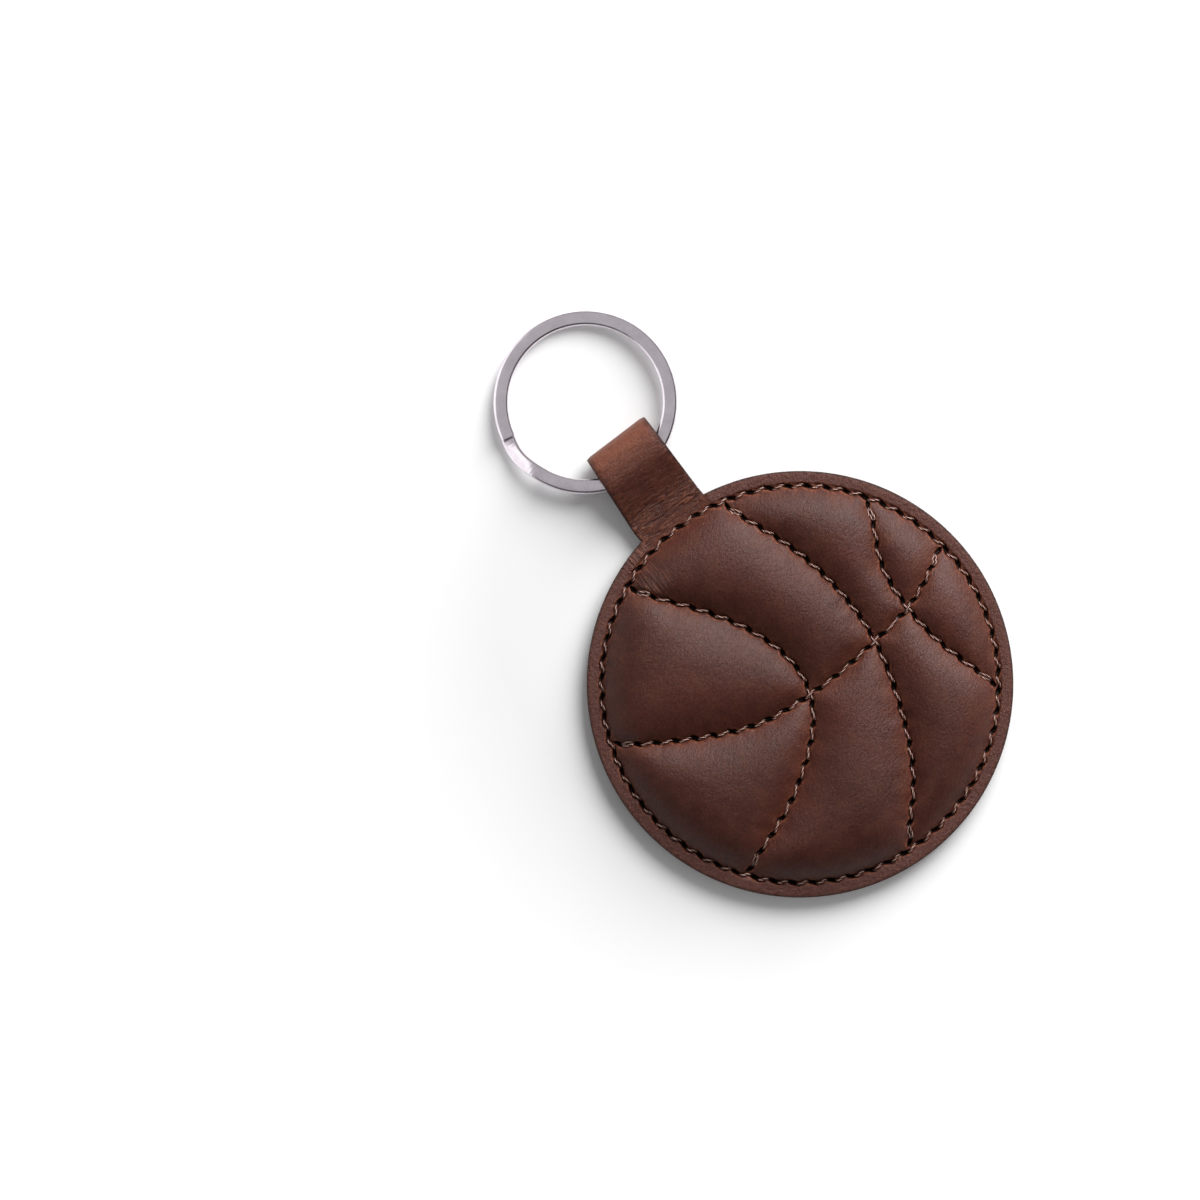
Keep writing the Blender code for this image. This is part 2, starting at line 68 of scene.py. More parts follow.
# Disc
DISC_RADIUS = 37.5
LEATHER = 1.3
THINNEST_LEATHER = 0.12
STITCH_RADIUS = 34.85
FLANGE_TOP = 3.8
CHANNEL_TOP = 5.7
SHOULDER = 5.35
LAYER_GAP = 0.3
TOUCH_GAP = 0.01
EDGE_PRESS = 0.26
PRESSED_FROM = 33.4
PRESSED_SLOPE = 0.9
FOAM_RADIUS = 31.0
FOAM_BOTTOM = 3.39
EDGE_ROUND = 0.18

# Unevenness of the leather, as (height, size): wide waves and small ripples
WAVES = (0.07, 9.0)
RIPPLES = (0.02, 2.2)

# Stitches, and the slots, lips and dents that they leave
PITCH = 3.4
RIM_STITCHES = 64
SEAM_END_GAP = 1.3
SEAM_END_FADE = 1.2
SWAY = 0.2
SEAM_HOLE_LENGTH = 1.7
RIM_HOLE_LENGTH = 2.1
HOLE_WIDTH = 0.62
HOLE_DEPTH = 0.8
BACK_HOLE_DEPTH = 0.45
LIP_HEIGHT = 0.05
LIP_PLACE = 1.6
LIP_WIDTH = 0.55
DENT_DEPTH = 0.4
DENT_WIDTH = 0.45
PRESS_WIDTH = 2.0
MARK_REACH = 3.5

# Groove for the back's stitches, as (distance from their line, depth), the same on both sides
GROOVE = ((0.85, 0), (0.6, 0.08), (0.42, 0.38), (0.24, 0.62), (0.08, 0.68))

# Tab, as a middle line that leaves the disc level, folds over and comes back under
TAB_ROOT_WIDTH = 13.8
TAB_FOLD_WIDTH = 12.6
FLEX_Y = 39.25
FLEX_Z = 2.35
TAB_TIP = 54.2
TAB_LEAN = ((35, 0), (38.5, -0.24), (TAB_TIP, 0.36))
FOLD_RADIUS = 2.366
SWING_Y = 48.25
SLOPE_START = 39.6
SLOPE_ROUND = 0.2
TAIL_THICKNESS = 0.6
TAIL_Z = 1.9
TAIL_START = DISC_RADIUS - LAYER_GAP
TAIL_END = 26.0
SKIVE_LENGTH = 2
FOLD_START = 37.0
STRIP_START = FOLD_START - 3
BESIDE_TAB = 6.5
BELOW_TAB = 35
PULLED_FROM = 46.3
PULLED_LENGTH = 7.3

# Fineness of the leather's net
NET_STEP = 1.0
SEAM_STEP = PITCH / 3
SAMPLE_STEP = 0.1
EDGE_CLEARANCE = 0.5 * NET_STEP
LINE_CLEARANCE = 0.6 * NET_STEP
TAB_END_POINTS = 15
EDGE_ROWS = (0.35 * EDGE_ROUND, 0.65 * EDGE_ROUND)
FINER_REACHES = (3.2, 1.7, 1.05)
ROOT_REACH = 1.5
ROOT_SIDE = 8
ROOT_FROM = 35.4
ROOT_TO = 36.5

# Swell of the panels, with cloth worked in larger units that suit Blender's
HELD_WIDTH = 0.05
SMOOTHING_ROUNDS = 4
SHOULDER_RISE = 0.45
SHOULDER_REACH = 0.8
PUFF = 2.9
PUFF_KEPT = 0.8
FULLNESS = 0.6
CLOTH_SCALE = 0.04
CLOTH_QUALITY = 6
CLOTH_MASS = 0.4
CLOTH_STIFFNESS = 15
CLOTH_BENDING = 1
CLOTH_PRESSURE = 4
CLOTH_SLACK = 0.004
CLOTH_FRAMES = 20
CLOTH_LIMIT = 0.8

# Split ring
WIRE_RADIUS = 14.9
WIRE_WIDTH = 2.54
WIRE_THICKNESS = 1.1
WIRE_CORNER = 0.45
TURN_GAP = 0.06
CUT_ANGLE = radians(170)
CUT_SHRINK = 0.7
CUT_SHORTENING = 0.75
CLIMB_ANGLE = radians(29)
CLIMB_ROLL = radians(12)
CLIMB_SHIFT = 0.3
RING_STEP = radians(2.5)
SWING_ARM = 14.09
SWING_Z = 3.666
RING_TILT = radians(4.82)

# Thread
SLANT = -radians(17)
THREAD_RADIUS = 0.21
THREAD_SIDES = 8
THREAD_STEPS = 9
TWIST = 3.1
LIFT_PLAY = (-0.03, 0.05)
SIDE_PLAY = 0.04
FIRST_ASIDE = -0.3
SECOND_ASIDE = 0.34
SECOND_RISE = 0.05
CROSSING_HOP = 0.4
BACK_THREAD_HEIGHT = 0.42

# Wrinkles across the tab's root, as (distance from the disc's centre, width, depth)
CREASE_DEPTH = 0.16
CREASES = ((37.4, 0.3, 0.16), (38.3, 0.24, 0.1), (39.2, 0.28, 0.12), (40.3, 0.3, 0.08), (41.6, 0.35, 0.06))
CREASE_MIDDLE = 40.25
CREASE_REACH = 5.75
CREASE_SIDE = 8.2
CREASE_FADE = 1.2
CREASE_BOW = 0.55
CREASE_WANDER = 0.5

# Small gathers left of the tab, inside and outside the rim's stitches, as (x, y, spread)
FAN = (-11.0, 29.6, 3.4)
BUNCH = (-9.8, 35.2, 2.4)

# Seams, as points in shares of the disc's radius
LEFT_CROSSING = (0.007, -0.064)
CENTRE_CROSSING = (0.400, -0.049)
RIGHT_CROSSING = (0.616, -0.020)
SEAM_SHARES = {
    "centre": (
        (0.224, 0.904), (0.260, 0.784), (0.315, 0.648), (0.403, 0.307), CENTRE_CROSSING,
        (0.293, -0.403), (0.112, -0.723), (0.015, -0.827), (-0.060, -0.926),
    ),
    "left": (
        (-0.370, 0.850), (-0.316, 0.764), (-0.203, 0.616), (-0.005, 0.269), (0.032, 0.075), LEFT_CROSSING,
        (-0.045, -0.157), (-0.173, -0.283), (-0.328, -0.387), (-0.493, -0.464), (-0.645, -0.517),
        (-0.740, -0.556),
    ),
    "right": (
        (0.781, 0.515), (0.727, 0.393), (0.651, 0.240), RIGHT_CROSSING,
        (0.635, -0.219), (0.696, -0.447), (0.733, -0.579),
    ),
    "cross": (
        (-0.873, 0.316), (-0.787, 0.249), (-0.549, 0.099), (-0.221, -0.040), LEFT_CROSSING,
        (0.136, -0.069), CENTRE_CROSSING, RIGHT_CROSSING, (0.824, 0.067), (0.921, 0.120),
    ),
}
CROSSINGS = np.array((LEFT_CROSSING, CENTRE_CROSSING, RIGHT_CROSSING)) * DISC_RADIUS


def eased(share):
    """0 to 1 with level ends."""
    share = np.clip(share, 0, 1)
    return share * share * (3 - 2 * share)


def bell(distance, width):
    return np.exp(-((distance / width) ** 2))


def circle(radius, turns):
    return radius * np.column_stack((np.cos(turns), np.sin(turns)))


def distances_along(points):
    """How far each point of a route lies from its start."""
    return np.concatenate(([0], np.cumsum(norm(np.diff(points, axis=0), axis=1))))


def read_at(along, distances, rows):
    """The columns of a route's rows, read at distances along it."""
    return [np.interp(along, distances, column) for column in np.transpose(rows)]


def plan_tree(points):
    """Finds the nearest of some points of the plan."""
    tree = KDTree(len(points))
    for i, (x, y) in enumerate(points):
        tree.insert((x, y, 0), i)
    tree.balance()
    return tree


# Seams


def curve_through(points, step):
    """Points about a step apart on a natural cubic curve through the given ones, which it keeps."""
    points = np.array(points)
    lengths = norm(np.diff(points, axis=0), axis=1)
    system = np.eye(len(points))
    bends = np.zeros(points.shape)
    for i in range(1, len(points) - 1):
        before, after = lengths[i - 1], lengths[i]
        system[i, i - 1 : i + 2] = before / 6, (before + after) / 3, after / 6
        bends[i] = (points[i + 1] - points[i]) / after - (points[i] - points[i - 1]) / before
    bends = np.linalg.solve(system, bends)
    route = [points[0]]
    for i, length in enumerate(lengths):
        far = np.linspace(0, 1, max(1, round(length / step)) + 1)[1:, None]
        near = 1 - far
        bend = (near**3 - near) * bends[i] + (far**3 - far) * bends[i + 1]
        route.extend(near * points[i] + far * points[i + 1] + bend * length**2 / 6)
    return np.array(route)


class StitchLine:
    """A sewn line in the plan, with the places of its needle holes along it."""

    def __init__(self, points, closed=False):
        self.points = points
        self.closed = closed
        self.hole_length = RIM_HOLE_LENGTH if closed else SEAM_HOLE_LENGTH
        self.along = distances_along(points)
        self.length = self.along[-1]
        tangents = np.gradient(points, axis=0)
        if closed:
            tangents[0] = tangents[-1] = points[1] - points[-2]
        self.tangents = tangents / norm(tangents, axis=1)[:, None]
        self.crossings = self.passed_crossings()
        self.holes = np.linspace(0, self.length, RIM_STITCHES + 1) if closed else self.spaced_holes()
        self.tree = plan_tree(points)
        self.heights = np.full(len(points), FLANGE_TOP)

    def passed_crossings(self):
        """Distances along the line of the crossings that it passes through."""
        passed = []
        for crossing in CROSSINGS:
            away = norm(self.points - crossing, axis=1)
            if away.min() < SAMPLE_STEP:
                passed.append(self.along[away.argmin()])
        return passed

    def spaced_holes(self):
        """Holes at the ends and half a stitch either side of each crossing, and evenly between."""
        marks = [SEAM_END_GAP, self.length - SEAM_END_GAP]
        for crossing in self.crossings:
            marks += [crossing - PITCH / 2, crossing + PITCH / 2]
        marks.sort()
        holes = [marks[0]]
        for start, end in zip(marks, marks[1:]):
            count = max(1, round((end - start) / PITCH))
            holes.extend(np.linspace(start, end, count + 1)[1:])
        return np.array(holes)

    def place(self, along, across):
        """The plan's point at a distance along the line and to the left of it."""
        if self.closed:
            along = along % self.length
        x, y = read_at(along, self.along, self.points)
        right, ahead = read_at(along, self.along, self.tangents)
        return x - ahead * across, y + right * across

    def height(self, along):
        return np.interp(along % self.length if self.closed else along, self.along, self.heights)

    def distance(self, places):
        return np.array([self.tree.find((x, y, 0))[2] for x, y in places])

    def measure(self, places):
        """Each place's distance along the line and to the left of it."""
        found = np.array([self.tree.find((x, y, 0))[1] for x, y in places])
        away = places - self.points[found]
        tangents = self.tangents[found]
        along = self.along[found] + (away * tangents).sum(1)
        across = tangents[:, 0] * away[:, 1] - tangents[:, 1] * away[:, 0]
        return along, across

    def turns(self, along):
        """How many stitches lie before a distance along the line."""
        return np.interp(along, self.holes, np.arange(len(self.holes)))

    def slots(self, along, across):
        """Places against the nearest needle slot: across it and in all, as shares of its half sizes."""
        ahead = along - self.holes[np.round(self.turns(along)).astype(int)]
        long = (ahead * cos(SLANT) + across * sin(SLANT)) * 2 / self.hole_length
        wide = (across * cos(SLANT) - ahead * sin(SLANT)) * 2 / HOLE_WIDTH
        return np.abs(wide), np.hypot(long, wide)


def seam_line(shares):
    places = np.array(shares) * DISC_RADIUS
    for index, radius in {0: STITCH_RADIUS, 1: FOAM_RADIUS, -2: FOAM_RADIUS, -1: STITCH_RADIUS}.items():
        places[index] *= radius / hypot(*places[index])
    return StitchLine(curve_through(places, SAMPLE_STEP))


SEAMS = {name: seam_line(shares) for name, shares in SEAM_SHARES.items()}
RIM_TURNS = np.linspace(0, 2 * pi, round(2 * pi * STITCH_RADIUS / SAMPLE_STEP) + 1)
RIM = StitchLine(circle(STITCH_RADIUS, RIM_TURNS), closed=True)
LINES = (RIM, *SEAMS.values())


# Tab's path, along the middle of the leather


def sloped(share):
    """0 to 1 along a straight slope with short rounded ends."""
    share = np.clip(share, 0, 1)
    low, high = np.minimum(share, SLOPE_ROUND), np.maximum(share - 1 + SLOPE_ROUND, 0)
    rise = (low**2 - high**2) / 2 / SLOPE_ROUND + np.maximum(share - SLOPE_ROUND, 0)
    return rise / (1 - SLOPE_ROUND)


def tab_path():
    """Rows of (y, z) from the disc to the tail's end, with distances along them and thicknesses."""
    root = (LEATHER + LAYER_GAP) / 2
    upper, lower = FLEX_Z + root, FLEX_Z - root
    floor = LEATHER / 2
    fold_radius = FOLD_RADIUS + LEATHER / 2
    fold_y = TAB_TIP - FOLD_RADIUS - LEATHER
    top = floor + 2 * fold_radius

    def run(y, to_y, z, to_z, count, way=eased):
        return [(y + (to_y - y) * n, z + (to_z - z) * way(n)) for n in np.linspace(0, 1, count)]

    rows = run(FOLD_START, SLOPE_START, upper, upper, 6)[:-1]
    rows += run(SLOPE_START, SWING_Y, upper, top, 50, sloped)
    rows += run(SWING_Y, fold_y, top, top, 6)[1:-1]
    rows += list(circle(fold_radius, np.linspace(pi / 2, -pi / 2, 50)) + (fold_y, floor + fold_radius))
    rows += run(fold_y, SWING_Y, floor, floor, 6)[1:-1]
    rows += run(SWING_Y, SLOPE_START, floor, lower, 50, sloped)
    rows += run(SLOPE_START, FLEX_Y, lower, lower, 3)[1:]
    rows += run(FLEX_Y, TAIL_START, lower, TAIL_Z, 10)[1:]
    rows += run(TAIL_START, TAIL_END, TAIL_Z, TAIL_Z, 12)[1:]
    along = distances_along(rows)
    skived = eased((along - along[-1] + TAIL_START - TAIL_END + SKIVE_LENGTH) / SKIVE_LENGTH)
    return along, np.array(rows), LEATHER + (TAIL_THICKNESS - LEATHER) * skived


PATH_ALONG, PATH_ROWS, PATH_THICKNESS = tab_path()
PATH_LENGTH = PATH_ALONG[-1]


def path_at(along):
    """The path's y and z, its direction and the leather's thickness."""
    y, z = read_at(along, PATH_ALONG, PATH_ROWS)
    dy, dz = read_at(along, PATH_ALONG, np.gradient(PATH_ROWS, axis=0))
    length = np.hypot(dy, dz)
    return y, z, dy / length, dz / length, np.interp(along, PATH_ALONG, PATH_THICKNESS)


def tab_half_width(along):
    taper = np.clip((path_at(along)[0] - FLEX_Y) / (TAB_TIP - FLEX_Y), 0, 1)
    return (TAB_ROOT_WIDTH + (TAB_FOLD_WIDTH - TAB_ROOT_WIDTH) * taper) / 2


# Front leather


def from_edge(places):
    """How far places of the flat cut lie inside its outline."""
    x, y = places[:, 0], places[:, 1]
    from_disc = DISC_RADIUS - np.hypot(x, y)
    along = y - FOLD_START
    from_side = np.minimum(tab_half_width(along) - np.abs(x), PATH_LENGTH - along)
    from_side = np.where(y > STRIP_START, from_side, -DISC_RADIUS)
    return np.maximum(from_disc, from_side)


def beside_tab(flat):
    """1 round the disc's border, 0 where the tab leaves it."""
    return np.maximum(eased(np.abs(flat[:, 0]) - BESIDE_TAB), eased(BELOW_TAB - flat[:, 1]))


def flat_net():
    """The leather as it is cut, disc and tab in one: a net of triangles that follows the seams."""
    places, edges = [], []

    def add_line(line, closed=False):
        first = len(places)
        places.extend((float(x), float(y)) for x, y in line)
        edges.extend((first + i, first + i + 1) for i in range(len(line) - 1))
        if closed:
            edges.append((first + len(line) - 1, first))

    half = TAB_ROOT_WIDTH / 2
    foot = atan2(sqrt(DISC_RADIUS**2 - half**2), half)
    sweep = pi + 2 * foot
    end = FOLD_START + PATH_LENGTH
    side = np.arange(DISC_RADIUS * sin(foot) + NET_STEP, end, NET_STEP)
    widths = tab_half_width(side - FOLD_START)
    turns = np.linspace(foot, foot - sweep, round(sweep * DISC_RADIUS / NET_STEP) + 1)
    outline = list(circle(DISC_RADIUS, turns))
    outline += zip(-widths, side)
    outline += [(x, end) for x in np.linspace(-half, half, TAB_END_POINTS)]
    outline += zip(widths[::-1], side[::-1])
    add_line(outline, closed=True)
    rim_points = 3 * RIM_STITCHES
    add_line(circle(STITCH_RADIUS, np.arange(rim_points) * 2 * pi / rim_points), closed=True)
    for line in SEAMS.values():
        stops = np.linspace(0, line.length, round(line.length / SEAM_STEP) + 1)[1:-1]
        for crossing in line.crossings:
            stops[np.abs(stops - crossing).argmin()] = crossing
        add_line(np.column_stack(line.place(stops, 0)))

    lined = plan_tree(places)
    rows = round((end + DISC_RADIUS) / NET_STEP / sqrt(0.75))
    row, column = np.indices((rows, round(2 * DISC_RADIUS / NET_STEP) + 1)).reshape(2, -1)
    grid = np.column_stack((column + row % 2 / 2, row * sqrt(0.75))) * NET_STEP - DISC_RADIUS
    for (x, y), depth in zip(grid, from_edge(grid)):
        if depth > EDGE_CLEARANCE and lined.find((x, y, 0))[2] > LINE_CLEARANCE:
            places.append((x, y))
    found = delaunay_2d_cdt([Vector(place) for place in places], edges, [], 0, SAMPLE_STEP / 100)
    points = np.array(found[0])
    shape = bmesh.new()
    corners = [shape.verts.new((x, y, 0)) for x, y in points]
    middles = np.array([points[list(triangle)].mean(0) for triangle in found[2]])
    for triangle, depth in zip(found[2], from_edge(middles)):
        if depth > 0:
            shape.faces.new([corners[i] for i in triangle])
    loose = [corner for corner in shape.verts if not corner.link_faces]
    bmesh.ops.delete(shape, geom=loose, context="VERTS")
    for thickness in EDGE_ROWS:
        region = [face for face in shape.faces if len(face.verts) == 3]
        bmesh.ops.inset_region(shape, faces=region, thickness=thickness, use_even_offset=True)
    return shape


def new_object(name, data):
    """A new object, linked to the scene."""
    made = bpy.data.objects.new(name, data)
    scene.collection.objects.link(made)
    return made


def vertex_places(shape):
    return np.array([corner.co for corner in shape.verts])


def cad_heights(places):
    """Heights of the CAD cover's top over the places."""
    heights = np.full(len(places), FLANGE_TOP)
    for i, (x, y) in enumerate(places):
        hit, point, _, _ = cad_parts["front_cover"].ray_cast((x * MM, y * MM, 1), (0, 0, -1))
        if hit:
            heights[i] = point.z / MM
    return heights


def swelled(shape):
    """Heights of the flat net once its panels have swelled over the foam."""
    flat = vertex_places(shape)[:, :2]
    radii = np.hypot(flat[:, 0], flat[:, 1])
    level = (radii > STITCH_RADIUS - HELD_WIDTH) | (flat[:, 1] > FOLD_START)
    held = level.copy()
    for line in SEAMS.values():
        held |= np.abs(line.measure(flat)[1]) < HELD_WIDTH
    heights = cad_heights(flat)
    channels = FLANGE_TOP + (CHANNEL_TOP - FLANGE_TOP) * eased((STITCH_RADIUS - radii) / SHOULDER)
    heights[held] = channels[held]
    heights[level] = FLANGE_TOP
    share = np.clip((heights - CHANNEL_TOP) / PUFF, 0, None)
    heights = np.where(held | (share == 0), heights, CHANNEL_TOP + PUFF_KEPT * PUFF * share**FULLNESS)
    pairs = np.array([[corner.index for corner in edge.verts] for edge in shape.edges])
    neighbours = np.bincount(pairs.ravel(), minlength=len(flat))
    for _ in range(SMOOTHING_ROUNDS):
        total = np.zeros(len(flat))
        np.add.at(total, pairs[:, 0], heights[pairs[:, 1]])
        np.add.at(total, pairs[:, 1], heights[pairs[:, 0]])
        heights = np.where(held, heights, total / neighbours)
    off = np.min([line.distance(flat) for line in LINES], axis=0)
    heights = np.where(held, heights, heights + SHOULDER_RISE * (1 - np.exp(-off / SHOULDER_REACH)))
    return np.column_stack((flat, heights)), held


def puffed(shape, places, held):
    """The net under even pressure in Blender's cloth, held at its seams and kept near its start."""
    mesh = bpy.data.meshes.new("cloth")
    shape.to_mesh(mesh)
    mesh.vertices.foreach_set("co", (places * CLOTH_SCALE).ravel())
    cloth = new_object("cloth", mesh)
    sewn = cloth.vertex_groups.new(name="sewn")
    sewn.add([int(i) for i in np.flatnonzero(held)], 1, "REPLACE")
    modifier = cloth.modifiers.new("cloth", "CLOTH")
    settings = modifier.settings
    settings.quality = CLOTH_QUALITY
    settings.mass = CLOTH_MASS
    settings.tension_stiffness = settings.compression_stiffness = CLOTH_STIFFNESS
    settings.bending_stiffness = CLOTH_BENDING
    settings.vertex_group_mass = "sewn"
    settings.shrink_min = -CLOTH_SLACK
    settings.use_pressure = True
    settings.uniform_pressure_force = CLOTH_PRESSURE
    settings.effector_weights.gravity = 0
    modifier.point_cache.frame_start = 1
    modifier.point_cache.frame_end = CLOTH_FRAMES
    for number in range(1, CLOTH_FRAMES + 1):
        scene.frame_set(number)
    settled = cloth.evaluated_get(bpy.context.evaluated_depsgraph_get()).data
    moved = np.zeros(len(places) * 3)
    settled.vertices.foreach_get("co", moved)
    moved = moved.reshape(-1, 3) / CLOTH_SCALE - places
    bpy.data.objects.remove(cloth)
    scene.frame_set(1)
    length = norm(moved, axis=1)[:, None]
    return places + moved * CLOTH_LIMIT / np.maximum(length, CLOTH_LIMIT)


def top_corners(shape, side):
    return [corner for corner in shape.verts if corner[side] > 0.5]


def face_outward(shape):
    bmesh.ops.recalc_face_normals(shape, faces=shape.faces)


def corners_among(parts):
    """The corners among the parts that an operator has made."""
    return [part for part in parts if isinstance(part, bmesh.types.BMVert)]


def two_sided(shape, places):
    """Adds the flesh side under the net, and walls round its edge."""
    flat = shape.verts.layers.float_vector.new("flat")
    side = shape.verts.layers.float.new("side")
    for corner, place in zip(shape.verts, places):
        corner[flat] = corner.co
        corner[side] = 1
        corner.co = place
    lower = bmesh.ops.extrude_face_region(shape, geom=shape.faces[:], use_keep_orig=True)["geom"]
    for corner in corners_among(lower):
        corner[side] = 0
        corner.co.z -= LEATHER
    face_outward(shape)
    return flat, side


def refined(shape, flat, side):
    """Finer triangles on the outer side near the stitches and the tab's root, smoothed as they are cut."""
    lines = plan_tree(np.concatenate([line.points for line in LINES]))
    for reach in FINER_REACHES:
        near = set()
        for corner in top_corners(shape, side):
            x, y, _ = corner[flat]
            at_root = reach > ROOT_REACH and abs(x) < ROOT_SIDE and ROOT_FROM < y < ROOT_TO + 3 * reach
            if at_root or lines.find((x, y, 0))[2] < reach:
                near.add(corner)
        edges = [edge for edge in shape.edges if near.issuperset(edge.verts)]
        bmesh.ops.subdivide_edges(shape, edges=edges, cuts=1, use_grid_fill=True)
        broken = [face for face in shape.faces if len(face.verts) > 3 and face.verts[0][side] > 0.5]
        bmesh.ops.triangulate(shape, faces=broken)
        smoothed = []
        for corner in top_corners(shape, side):
            x, y, _ = corner[flat]
            if hypot(x, y) < DISC_RADIUS - 1 and lines.find((x, y, 0))[2] < reach + 0.3:
                smoothed.append(corner)
        for _ in range(2):
            bmesh.ops.smooth_vert(
                shape, verts=smoothed, factor=0.5, use_axis_x=True, use_axis_y=True, use_axis_z=True
            )


def slot_cut(share):
    """How deep a slot is at a share of the way from its middle to its lip."""
    return np.exp(-0.9 * share**4)


def stitch_marks(flat):
    """What the stitches do to the outer side: how far it is sunk, slit, raised in lips and pressed."""
    sunk, slit, lip, pressed = np.zeros((4, len(flat)))
    for line in LINES:
        rows = np.flatnonzero(line.distance(flat) < MARK_REACH)
        along, across = line.measure(flat[rows])
        past = np.maximum(line.holes[0] - along, along - line.holes[-1])
        kept = 1 - eased(past / SEAM_END_FADE) if not line.closed else 1
        off = across + SWAY * np.sin(2 * pi * line.turns(along))
        wide, share = line.slots(along, across)
        for layer, values in (
            (sunk, DENT_DEPTH * bell(off, DENT_WIDTH) * kept),
            (slit, slot_cut(share)),
            (lip, bell(share - LIP_PLACE, LIP_WIDTH) * wide / np.maximum(share, 1)),
            (pressed, bell(off, PRESS_WIDTH) * kept),
        ):
            layer[rows] = np.maximum(layer[rows], values)
    lip *= 1 - np.clip(slit / 0.3, 0, 1)
    return sunk, slit, lip, pressed


def ripple(places, size, seed):
    """Even noise from -1 to 1 over places of a plane, with swells of about that size."""
    return np.array([noise.noise((x / size, y / size, seed)) for x, y in places])


def creased(flat):
    """How far the bending leather's wrinkles sink across the tab's root."""
    side = np.abs(flat[:, 0])
    rows = np.flatnonzero((side < CREASE_SIDE) & (np.abs(flat[:, 1] - CREASE_MIDDLE) < CREASE_REACH))
    depth = np.zeros(len(flat))
    x, y = flat[rows].T
    wander = ripple(flat[rows], 3.0, 3.1)
    for place, width, size in CREASES:
        bow = place - (2 * x / TAB_ROOT_WIDTH) ** 2 * CREASE_BOW + wander * CREASE_WANDER
        broken = 0.55 + 0.45 * ripple(flat[rows] + place, 2.2, place)
        depth[rows] += size * bell(y - bow, width) * broken
    return depth * eased((CREASE_SIDE - side) / CREASE_FADE)


def folded(places, flat, outer, marks, crease):
    """The leather's places once its stitches have marked it and its tab is folded along the path."""
    sunk, slit, lip, _ = marks
    edge = from_edge(flat)
    along = flat[:, 1] - FOLD_START
    rounding = EDGE_ROUND - np.sqrt(np.maximum(EDGE_ROUND**2 - np.maximum(EDGE_ROUND - edge, 0) ** 2, 0))
    waves = WAVES[0] * ripple(flat, WAVES[1], 0.5) * eased(1 - along / 6)
    waves += RIPPLES[0] * ripple(flat, RIPPLES[1], 7.5)
    rise = waves * eased(edge / 3) + LIP_HEIGHT * lip - sunk - HOLE_DEPTH * slit - crease - rounding
    rise = np.maximum(rise, THINNEST_LEATHER - LEATHER)
    pressed = eased(np.hypot(*flat.T) - PRESSED_FROM) * beside_tab(flat)
    rise = np.where(outer, rise, -EDGE_PRESS * pressed)
    y, z, dy, dz, thickness = path_at(along)
    offset = np.where(outer, thickness / 2, -thickness / 2) + rise
    tab = np.column_stack((flat[:, 0], y - dz * offset, z + dy * offset))
    places[:, 2] += rise
    places = np.where((along > 0)[:, None], tab, places)
    places[:, 2] = np.maximum(places[:, 2], 0)
    places[:, 0] += np.interp(places[:, 1], *zip(*TAB_LEAN))
    return places


def worked_areas(flat, marks, crease):
    """How much each place of the outer side is wrinkled, worn, pressed and so on, for its finish."""
    _, slit, lip, pressed = marks
    edge = from_edge(flat)
    x, y = flat.T
    along = y - FOLD_START
    radii = np.hypot(x, y)
    fan, bunch = (bell(np.hypot(x - left, y - up), spread) for left, up, spread in (FAN, BUNCH))
    fan *= eased(SEAMS["left"].measure(flat)[1] - 0.3)
    gathers = np.where(radii < STITCH_RADIUS, fan, bunch)
    return {
        "wrinkled": np.maximum(bell(y - 38.9, 3.6), 0.25 * (along > 2)) * eased((8.5 - np.abs(x)) / 2),
        "gathered": gathers * eased((np.abs(STITCH_RADIUS - radii) - 0.4) / 0.6),
        "worn": np.maximum(lip, 0.25 * bell(edge - 0.6, 0.25)),
        "pressed": pressed,
        # The slots, which the finish darkens to near black as painted shade
        "hole": slit,
        "crease": crease / CREASE_DEPTH,
        "pulled": eased((path_at(along)[0] - PULLED_FROM) / PULLED_LENGTH) * (along > 0),
        "burnished": 1 - eased(edge / 0.4),
        "border": eased((radii - STITCH_RADIUS - 0.3) / 0.5) * (along < 2) * beside_tab(flat),
    }


def front_leather():
    """The quilted cover and the folded tab, one piece of leather, and the foam under it."""
    shape = flat_net()
    places, held = swelled(shape)
    places = puffed(shape, places, held)
    flat_layer, side_layer = two_sided(shape, places)
    foam = foam_under(shape)
    refined(shape, flat_layer, side_layer)
    smooth = BVHTree.FromBMesh(shape)
    for line in LINES:
        line.heights = np.array([smooth.ray_cast((x, y, 50), (0, 0, -1))[0].z for x, y in line.points])
    flat = np.array([corner[flat_layer] for corner in shape.verts])[:, :2]
    outer = np.array([corner[side_layer] for corner in shape.verts]) > 0.5
    marks = stitch_marks(flat)
    crease = creased(flat)
    for corner, place in zip(shape.verts, folded(vertex_places(shape), flat, outer, marks, crease)):
        corner.co = place
    for name, values in worked_areas(flat, marks, crease).items():
        layer = shape.verts.layers.float.new(name)
        for corner, value, top in zip(shape.verts, values, outer):
            corner[layer] = value if top else 0
    for face in shape.faces:
        tops = sum(corner[side_layer] > 0.5 for corner in face.verts)
        face.material_index = 0 if tops == len(face.verts) else 2 if tops == 0 else 1
    return shape, foam


